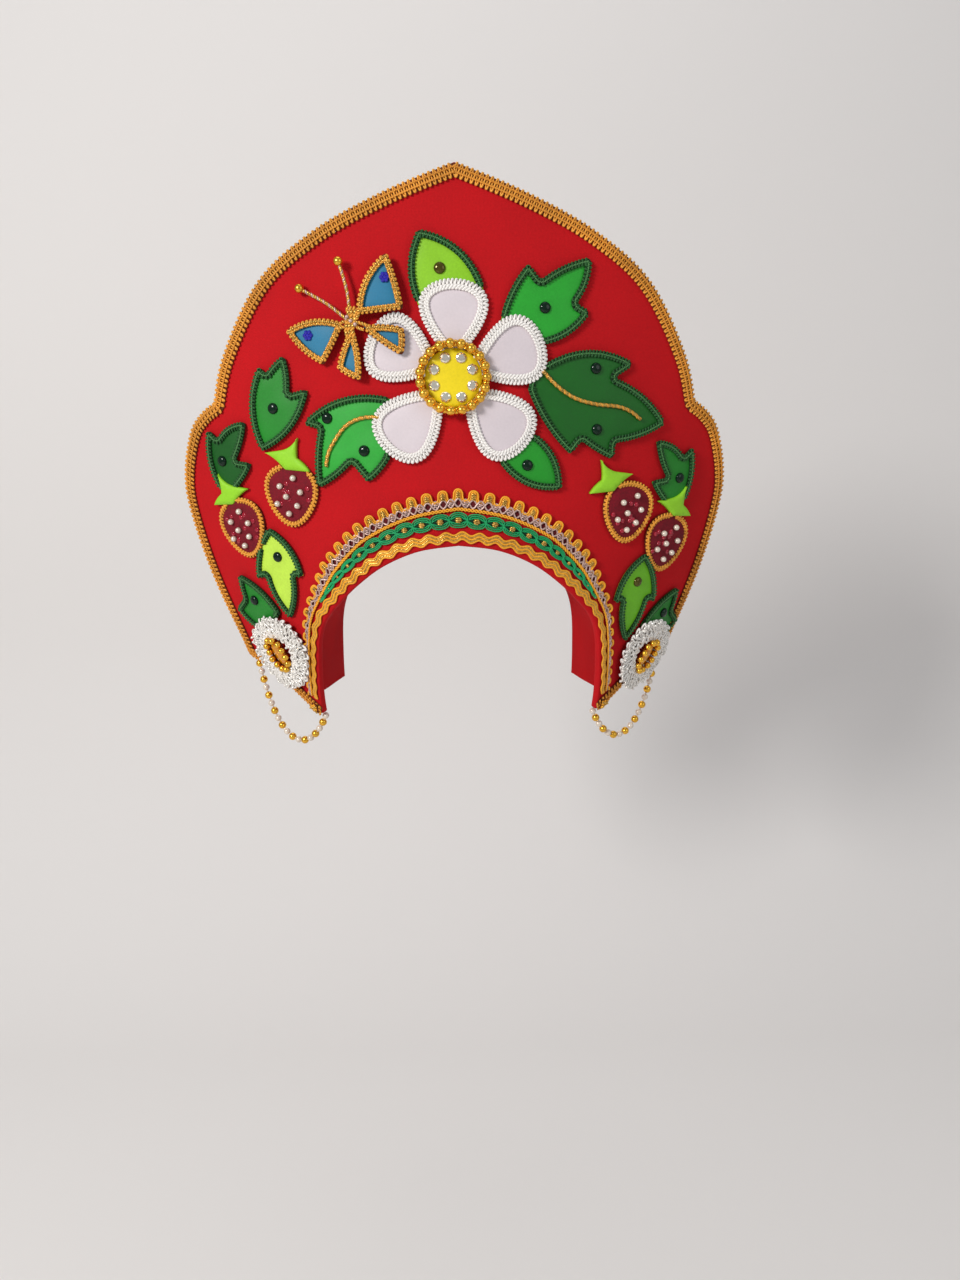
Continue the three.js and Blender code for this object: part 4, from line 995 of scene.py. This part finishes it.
def lace_flower(name, across, up, turn, seed):
    """Rounds of looped thread with small beads scattered on them, and a stone in a ring of gold beads."""
    shape = Shape()
    rng = np.random.default_rng(seed)
    centre = on_pattern(across, up)
    angle = around(600)
    for k, (radius, swing, loops, thick, out) in enumerate(LACE_ROUNDS):
        reach = radius + swing * np.sin(angle * loops + k) + 0.5 * np.sin(angle * 7 + k * 1.7)
        along = angle + 0.035 * np.cos(angle * loops * 2 + k)
        flat = centre + reach[:, None] * towards(along)
        cord_on(shape, flat, out + 0.5 * np.cos(angle * loops + k * 0.7), thick, k % 2, closed=True)
    for _ in range(SEED_BEADS):
        flat = centre + towards(rng.uniform(0, FULL_TURN)) * SEED_REACH * math.sqrt(rng.uniform(0.2, 1))
        tilt = cone_frame(flat)[1] + rng.uniform(-0.8, 0.8, 3)
        ball(shape, on_crest(flat, rng.uniform(3.6, 5.0)), SEED_RADIUS, 1, tilt, 1.5, 5, 7)
    # a greyish ring under the rounds: painted shade between the loops
    strip(shape, egg_outline(centre, 34.0, 34.0, steps=120), 5.0, 2.9, 3.2, True, 2)
    shape.build("lace_" + name, [white_thread, silver_bead, white_painted_shade], ["lace_flower_" + name], "lace")
    middle = Shape()
    tilted = math.radians(turn)
    fill(middle, egg_outline(centre, 16.0, 9.0, 0, tilted, 48), 4.6, 6.0, 1, base=3.0, pitch=1.6)
    oval = egg_outline(centre, 20.0, 12.5, 0, tilted, 220)
    for k, flat in enumerate(evenly(looped(oval), 12)[:-1]):
        bead(middle, flat, 5.9 + 0.3 * math.sin(k * 2.4), 2.1)
    middle.build("lace_centre_" + name, [gold_bead, amber_stone], ["lace_flower_" + name], "gold_bead")
    return egg_outline(centre, 45.0, 45.0)


lace_outlines = [lace_flower(*row, 11 + index) for index, row in enumerate(LACE)]

# Calyxes and berries

# Across and up as shares of the crest, then whether a calyx is mirrored, and a berry's lean in degrees
CALYXES = ((-0.55, 0.241, False), (-0.79, 0.136, True), (0.503, 0.173, True), (0.772, 0.089, False))
BERRIES = ((-0.545, 0.138, 0.0), (-0.755, 0.035, 14.0), (0.572, 0.08, -6.0), (0.75, -0.022, -10.0))
# Pearls of a berry: across as shares of PEARL_REACH, and along as shares of its half length
PEARLS = ((-0.2, 0.55), (0.35, 0.3), (-0.45, 0.12), (0.12, -0.02), (0.5, -0.25), (-0.3, -0.3), (0.05, -0.55))
CALYX_SIZE, CALYX_LEVELS = 14.0, (2.9, 3.3)
BERRY_LENGTH, BERRY_WIDTH, BERRY_TAPER, BERRY_LEVELS = 35.0, 33.0, 0.22, (1.6, 2.9)
BERRY_RIM, RED_BEADS, PEARL_REACH = 2.5, 11, 15.5


def calyx(index, across, up, mirror):
    outline = pattern_outline("calyx", CALYX_SIZE, on_pattern(across, up), mirror)
    look = calyx_satin, "calyx_satin"
    cut_cloth(f"calyx_cloth_{index + 1}", f"calyx_{index + 1}", look, outline, CALYX_LEVELS, 0.25, 40 + index)
    return outline


def berry(index, across, up, lean, hidden_by):
    """A velvet berry in a looped braid, with pearls in its pattern and small red beads between them."""
    node, place = f"berry_{index + 1}", on_pattern(across, up)
    turn = math.radians(90 + lean)
    outline = egg_outline(place, BERRY_LENGTH, BERRY_WIDTH, BERRY_TAPER, turn)
    trims = Shape()
    for run, closed in runs_outside(inset_path(outline, 1.6), hidden_by):
        gimp(trims, run, closed, 3.6, 2.1, 1.0, (0, 0, 1))
    for x, y in PEARLS:
        flat = place + towards(turn) * y * BERRY_LENGTH / 2 + towards(turn + math.pi / 2) * x * PEARL_REACH
        bead(trims, flat, 4.1, 1.7, 2)
    rng = np.random.default_rng(60 + index)
    for _ in range(RED_BEADS):
        flat = place + towards(rng.uniform(0, 6.28)) * rng.uniform(2, 11.5)
        gem(trims, flat, 2.5, 1.5, 0.9, 3)
    trims = trims.build(f"berry_gimp_{index + 1}", [ochre, painted_shade_brown, pearl, crimson_bead], [node], "gold_bead")
    field = egg_outline(place, BERRY_LENGTH - BERRY_RIM, BERRY_WIDTH - BERRY_RIM, BERRY_TAPER, turn)
    look = velvet, "berry_velvet"
    cut_cloth(f"berry_cloth_{index + 1}", node, look, field, BERRY_LEVELS, 0.2, 50 + index)
    return outline


calyx_outlines = [calyx(index, *row) for index, row in enumerate(CALYXES)]
berry_outlines = []
for index, row in enumerate(BERRIES):
    # each side's second berry lies partly under its first
    first_berry = berry_outlines[-1:] if index % 2 == 1 else []
    berry_outlines.append(berry(index, *row, [calyx_outlines[index], *first_berry]))

# Flower

FLOWER = np.array([-1.8, 87.0])
DISC_LEVELS, RING_BEADS, RING_PITCH = (2.7, 3.1), 19, 5.6
RING_RADIUS = RING_BEADS * RING_PITCH / FULL_TURN
# Directions of the petals in degrees, and their reach as a share
PETALS = ((89.0, 0.98), (22.0, 1.02), (-44.0, 1.04), (226.0, 1.04), (154.0, 0.97))
PETAL_START, PETAL_REACH, PETAL_WIDTH, PETAL_TAPER, PETAL_LEVELS = 10.0, 50.0, 33.0, 0.45, (1.5, 2.2)
TRIM_LOW = 1.3


def flower_disc():
    """A yellow disc with eight clear stones."""
    stones = Shape()
    for angle in around(8, 0.5):
        gem(stones, FLOWER + 10.6 * towards(angle), 2.9, 2.9, 1.7)
    stones = stones.build("disc_stones", [clear_stone], ["flower_disc"], "gold_bead", smooth=False)
    look, outline = (disc_satin, "disc_satin"), egg_outline(FLOWER, 30.0, 30.0)
    cut_cloth("disc_cloth", "flower_disc", look, outline, DISC_LEVELS, 0.12, 5)


def bead_ring():
    """Large gold beads in a ring, over smaller ones between them."""
    shape = Shape()
    for angle in around(RING_BEADS):
        bead(shape, FLOWER + RING_RADIUS * towards(angle), 6.2, 2.6, 0, 10, 16, upright_at=FLOWER)
    for angle in around(RING_BEADS, 0.5):
        bead(shape, FLOWER + (RING_RADIUS + 0.1) * towards(angle), 3.9, 1.9, upright_at=FLOWER)
    shape.build("flower_beads", [gold_bead], ["flower_bead_ring"], "gold_bead")


def petal(index, degrees, share, hidden_by):
    """A satin petal in a crocheted rim."""
    number = index + 1
    turn, reach = math.radians(degrees), PETAL_REACH * share
    middle = FLOWER + (PETAL_START + reach) / 2 * towards(turn)
    outline = egg_outline(middle, reach - PETAL_START, PETAL_WIDTH, PETAL_TAPER, turn, 90)
    rim = Shape()
    for run, closed in runs_outside(inset_path(outline, 2.75), hidden_by):
        crochet(rim, run, closed, 5.5, TRIM_LOW + 0.3, 1.9)
    materials = [white_thread, white_painted_shade]
    rim = rim.build(f"petal_crochet_{number}", materials, [f"petal_trim_{number}"], "crochet")
    look, field = (petal_satin, "petal_satin"), inset_path(outline, 1.2)
    cut_cloth(f"petal_cloth_{number}", f"petal_{number}", look, field, PETAL_LEVELS, 0.3, 20 + index)
    return outline


flower_disc()
bead_ring()
flower_outlines = [egg_outline(FLOWER, 31.0, 31.0)]
for index, row in enumerate(PETALS):
    flower_outlines.append(petal(index, *row, flower_outlines))

# Leaves

# Name, pattern, across and up as shares of the crest, size, colour and whether mirrored
LEAVES = (
    ("top", "top", -0.047, 0.738, 28.0, (138, 200, 30), False),
    ("upper_right", "lobed", 0.269, 0.639, 33.0, (34, 160, 42), False),
    ("right", "right", 0.421, 0.377, 48.0, (10, 94, 17), False),
    ("low_right", "low", 0.216, 0.22, 26.0, (28, 146, 35), False),
    ("left", "left", -0.351, 0.304, 33.0, (32, 164, 46), False),
    ("upper_left", "upper_left", -0.588, 0.381, 27.0, (22, 132, 31), False),
    ("side_top_left", "side_top", -0.805, 0.233, 22.0, (10, 86, 20), False),
    ("side_top_right", "side_top", 0.777, 0.173, 22.0, (26, 124, 32), True),
    ("side_middle_left", "side_middle", -0.622, -0.045, 30.0, (192, 230, 76), False),
    ("side_middle_right", "side_middle", 0.64, -0.136, 30.0, (108, 186, 30), True),
    ("side_low_left", "side_low", -0.764, -0.195, 20.0, (24, 126, 34), False),
    ("side_low_right", "side_low", 0.81, -0.262, 20.0, (24, 122, 32), True),
)
SLOTS = {"top": "leaf_lime", "upper_right": "leaf_bright", "right": "leaf_deep", "low_right": "leaf_bright",
         "left": "leaf_bright", "side_top_left": "leaf_deep", "side_middle_left": "leaf_pale",
         "side_middle_right": "leaf_grass"}
# Stones that aren't in the middle of their leaf, as shares of its size
STONES = {"right": ((0.05, 0.42), (0.08, -0.24)), "left": ((0.32, -0.24), (-0.28, 0.28))}
VEINS = {
    "right": ((45, 90.4), (52, 83.4), (62, 77), (74, 73.8), (87.7, 72.5), (95.8, 69.8), (101.7, 65.8)),
    "left": ((-40.8, 67.3), (-48, 67.4), (-54.7, 65.6), (-60.2, 61.9), (-65.3, 55.6), (-69.1, 49.3),
             (-70.8, 42.2)),
}
LEAF_LEVELS = (1.1, 1.6)
covers = lace_outlines + calyx_outlines + berry_outlines + flower_outlines


def leaf(index, name, kind, across, up, size, colour, mirror):
    """A satin leaf in a looped braid that ends under what covers it, with its stones and its vein."""
    place, node, slot = on_pattern(across, up), "leaf_" + name, SLOTS.get(name, "leaf_mid")
    outline = pattern_outline(kind, size, place, mirror)
    stones = Shape()
    for spot in STONES.get(name, ((0.0, 0.0),)):
        gem(stones, place + size * np.array(spot), LEAF_LEVELS[1] - 0.1, 3.0, 1.9, sides=14)
    stone = olive_stone if name in ("top", "side_middle_right") else green_stone
    on_it = [stones.build("leaf_stone_" + name, [stone], [node], slot)]
    if name in VEINS:
        vein = Shape()
        twisted(vein, catmull(VEINS[name], 60), LEAF_LEVELS[1] + 0.9, 1.05, (0, 1, 0))
        on_it.append(vein.build("leaf_vein_" + name, [gold_thread, ochre], [node], "leaf_braid"))
    rim = Shape()
    for run, closed in runs_outside(inset_path(outline, 1.9), covers):
        gimp(rim, run, closed, 4.2, 1.9, TRIM_LOW, (0, 2, 1), 0.46, 0.6)
    materials = [leaf_thread, leaf_painted_shade, leaf_stitch]
    on_it.append(rim.build("leaf_gimp_" + name, materials, ["leaf_trim_" + name], "leaf_braid"))
    look = satin("leaf_satin_" + name, colour, 0.84, 1.06, 0.48, 0.2, 70.0), slot
    field = inset_path(outline, 0.9)
    cut_cloth("leaf_cloth_" + name, node, look, field, LEAF_LEVELS, 0.22, 70 + index)


for index, row in enumerate(LEAVES):
    leaf(index, *row)

# Butterfly

# Name, pattern, across and up as shares of the crest, size, and place of its stones if it has them
WINGS = (("upper", "upper_wing", -0.222, 0.675, 20.0, (2.5, 7.5)),
         ("left", "left_wing", -0.415, 0.565, 20.0, (-6.5, 1.5)),
         ("right", "right_wing", -0.197, 0.565, 17.0, None),
         ("lower", "lower_wing", -0.316, 0.513, 13.0, None))
FEELER_TIPS = ((-0.344, 0.757), (-0.471, 0.694))
BODY_PLACE, BODY_LENGTH = on_pattern(-0.311, 0.6), 15.0
BODY_BEADS = ((0.3, 0.8), (2.6, -1.0), (-1.6, 2.8))


def butterfly_lift(across):
    """The right wings lie on a petal, so the butterfly rises towards them."""
    return 3.4 * np.clip((across + 0.5 * HALF_WIDTH) / (0.22 * HALF_WIDTH), 0, 1)


def wing(trim, index, name, kind, across, up, size, stones_at):
    """A satin wing with a looped and a twisted rim, and a cluster of seven stones on an upper one."""
    place, node = on_pattern(across, up), "butterfly_wing_" + name
    outline = pattern_outline(kind, size, place)
    gimp(trim, inset_path(outline, 1.7), True, 3.4, 2.3, 1.5, lift=butterfly_lift)
    twisted(trim, inset_path(outline, 2.9), 2.5, 0.75, (1, 0), 2.6, True, butterfly_lift)
    if stones_at:
        sequins, middle = Shape(), place + np.array(stones_at)
        for spot in [*(middle + 1.7 * towards(around(6))), middle]:
            gem(sequins, spot, 1.3 + butterfly_lift(middle[0]), 1.2, 1.5, sides=6)
        sequins.build("wing_sequins_" + name, [blue_stone], [node], "wing_satin", smooth=False)
    look, field = (wing_satin, "wing_satin"), inset_path(outline, 0.8)
    cut_cloth("wing_cloth_" + name, node, look, field, (1.1, 1.4), 0.12, 90 + index, butterfly_lift)
    near = outline[np.argmin(np.hypot(*(outline - BODY_PLACE).T))]
    return near + 0.22 * (place - near)


def butterfly_body(trim, wing_roots):
    """Cords that meet at the body from the wings, with beads on it, and two feelers."""
    turn = np.linspace(0, 6.28, 40)
    body = BODY_PLACE + np.stack([np.sin(turn) * 0.8, BODY_LENGTH / 2 - BODY_LENGTH * turn / 6.28], axis=-1)
    for shift in (-1.7, 0.0, 1.7):
        rise = 3.5 if shift == 0 else 3.0
        twisted(trim, body + np.array([shift, 0]), rise, 1.15, (0, 1), 3.4, lift=butterfly_lift)
    for root in wing_roots:
        for k in (-1, 1):
            start = root + k * np.array([0.9, 0.9])
            bend = (start + BODY_PLACE) / 2 + k * np.array([-0.6, 0.8])
            line = catmull([start, bend, BODY_PLACE + k * np.array([0.5, -1.5])], 30)
            twisted(trim, line, 3.1, 0.95, (0, 1), 3.0, lift=butterfly_lift)
    for spot in BODY_BEADS:
        bead(trim, BODY_PLACE + np.array(spot), 4.3, 1.1, 3, 6, 8, butterfly_lift, BODY_PLACE)
    for place in FEELER_TIPS:
        tip = on_pattern(*place)
        middle = (BODY_PLACE + tip) / 2 + np.array([1.2, 0.8])
        twisted(trim, catmull([BODY_PLACE, middle, tip], 60), 2.7, 0.95, (1, 3, 1), 3.6, lift=butterfly_lift)
        bead(trim, tip, 3.0, 2.5, 4, 10, 14, butterfly_lift)


trim = Shape()
butterfly_body(trim, [wing(trim, index, *row) for index, row in enumerate(WINGS)])
trim_materials = [ochre, gold_thread, painted_shade_brown, silver_pink, gold_bead]
trim.build("butterfly_gimp", trim_materials, ["butterfly_trim"], "wing_braid")

# Strings of beads

STRING_BEADS, STRING_PITCH, THREAD_RADIUS = 19, 5.2, 0.0005
PEARL_RADIUS, GOLD_RADIUS = 0.0021, 0.0024


def hanging_line(start, end, length):
    """Places and directions along a string that hangs under gravity between two ends, as a function."""
    level = np.array([end[0] - start[0], end[1] - start[1], 0.0])
    span = float(np.linalg.norm(level))
    level /= span
    drop = end[2] - start[2]
    target = math.sqrt(length**2 - drop**2) / span
    low, high = 0.1, 20.0
    for _ in range(60):
        middle = (low + high) / 2
        low, high = (middle, high) if math.sinh(middle) / middle < target else (low, middle)
    scale = span / (2 * low)
    lowest = span / 2 - scale * math.asinh(drop / (2 * scale * math.sinh(low)))
    rise = math.sinh(-lowest / scale)

    def place(along):
        slope = rise + along / scale
        point = start + level * (lowest + scale * math.asinh(slope))
        point[2] += scale * (math.hypot(1, slope) - math.hypot(1, rise))
        return point * MM, unit(level + np.array([0, 0, slope]))

    return place, np.array([-level[1], level[0], 0.0])


def bead_string(side, name):
    """Gold beads and pearls by turns on a thread, between the wing's corner and its tip."""
    shape = Shape()
    wing_corner, arch_tip = outer_line[-1], lower_line[1]
    corner = wing_corner + (lower_line[-2] - wing_corner) * 0.17 - np.array([0, 1.5])
    tip = arch_tip - np.array([0, 2.4])
    ends = [on_crest(flat * np.array([side, 1]), -THICKNESS / 2) * 1000.0 for flat in (corner, tip)]
    length = (STRING_BEADS - 1) * STRING_PITCH
    place, across = hanging_line(*ends, length)
    thread = np.array([place(along)[0] for along in np.linspace(-1.5, length + 1.5, 90)])
    tube(shape, thread, THREAD_RADIUS, np.broadcast_to(across, thread.shape), 1, 6)
    for k in range(STRING_BEADS):
        point, tangent = place(k * STRING_PITCH)
        if k % 2 == 0:
            ball(shape, point, PEARL_RADIUS, 1, tangent, 0.98, 8, 14)
        else:
            ball(shape, point, GOLD_RADIUS, 0, tangent, 1.0, 8, 14)
    shape.build("beads_" + name, [gold_bead, pearl], ["bead_string_" + name], "string_bead")


bead_string(-1, "left")
bead_string(1, "right")

# Floor, backdrop and lights

FLOOR_LEVEL, SWEEP_RADIUS = -0.5, 0.35
# Name, place, target, size, power and colour
LIGHTS = (("key", (-0.92, -1.1, 0.55), (0, 0, 0.03), 0.4, 17.0, (1.0, 0.985, 0.96)),
          ("fill", (1.1, -1.0, 0.4), (0, 0, 0), 1.0, 3.0, (0.96, 0.98, 1.0)),
          ("top", (0.0, 0.1, 1.3), (0, 0, 0), 1.0, 3.5, (1, 1, 1)))


def sweep():
    """A pale floor that curves up into a backdrop."""
    curve = [(0.25 + SWEEP_RADIUS * math.sin(t), FLOOR_LEVEL + SWEEP_RADIUS * (1 - math.cos(t)))
             for t in np.linspace(0.1, 1.5, 12)]
    profile = [(-1.6, FLOOR_LEVEL), (0.25, FLOOR_LEVEL), *curve, (0.6, -0.1), (0.6, 2.0)]
    points = [(x, y, z) for y, z in profile for x in (-3.0, 3.0)]
    mesh = bpy.data.meshes.new("floor")
    mesh.from_pydata(points, [], [(2 * i, 2 * i + 1, 2 * i + 3, 2 * i + 2) for i in range(len(profile) - 1)])
    mesh.polygons.foreach_set("use_smooth", [True] * len(mesh.polygons))
    pale = Surface("pale_floor")
    pale.set(pale.shader, {"Base Color": linear((226, 223, 221)), "Roughness": 0.85})
    mesh.materials.append(pale.material)
    floor = bpy.data.objects.new("floor", mesh)
    bpy.context.collection.objects.link(floor)


def area_light(name, place, target, size, power, colour):
    data = bpy.data.lights.new(name, "AREA")
    data.shape, data.size, data.energy, data.color = "DISK", size, power, colour
    forward = unit(np.array(target) - np.array(place))
    right = unit(np.cross(forward, [0, 0, 1]))
    put(bpy.data.objects.new(name, data), place, right, np.cross(right, forward), forward)


def pale_world():
    world = bpy.data.worlds.new("world")
    world.use_nodes = True
    world.node_tree.nodes["Background"].inputs["Color"].default_value = (0.92, 0.93, 0.95, 1)
    world.node_tree.nodes["Background"].inputs["Strength"].default_value = 0.4
    bpy.context.scene.world = world


sweep()
for light in LIGHTS:
    area_light(*light)
pale_world()
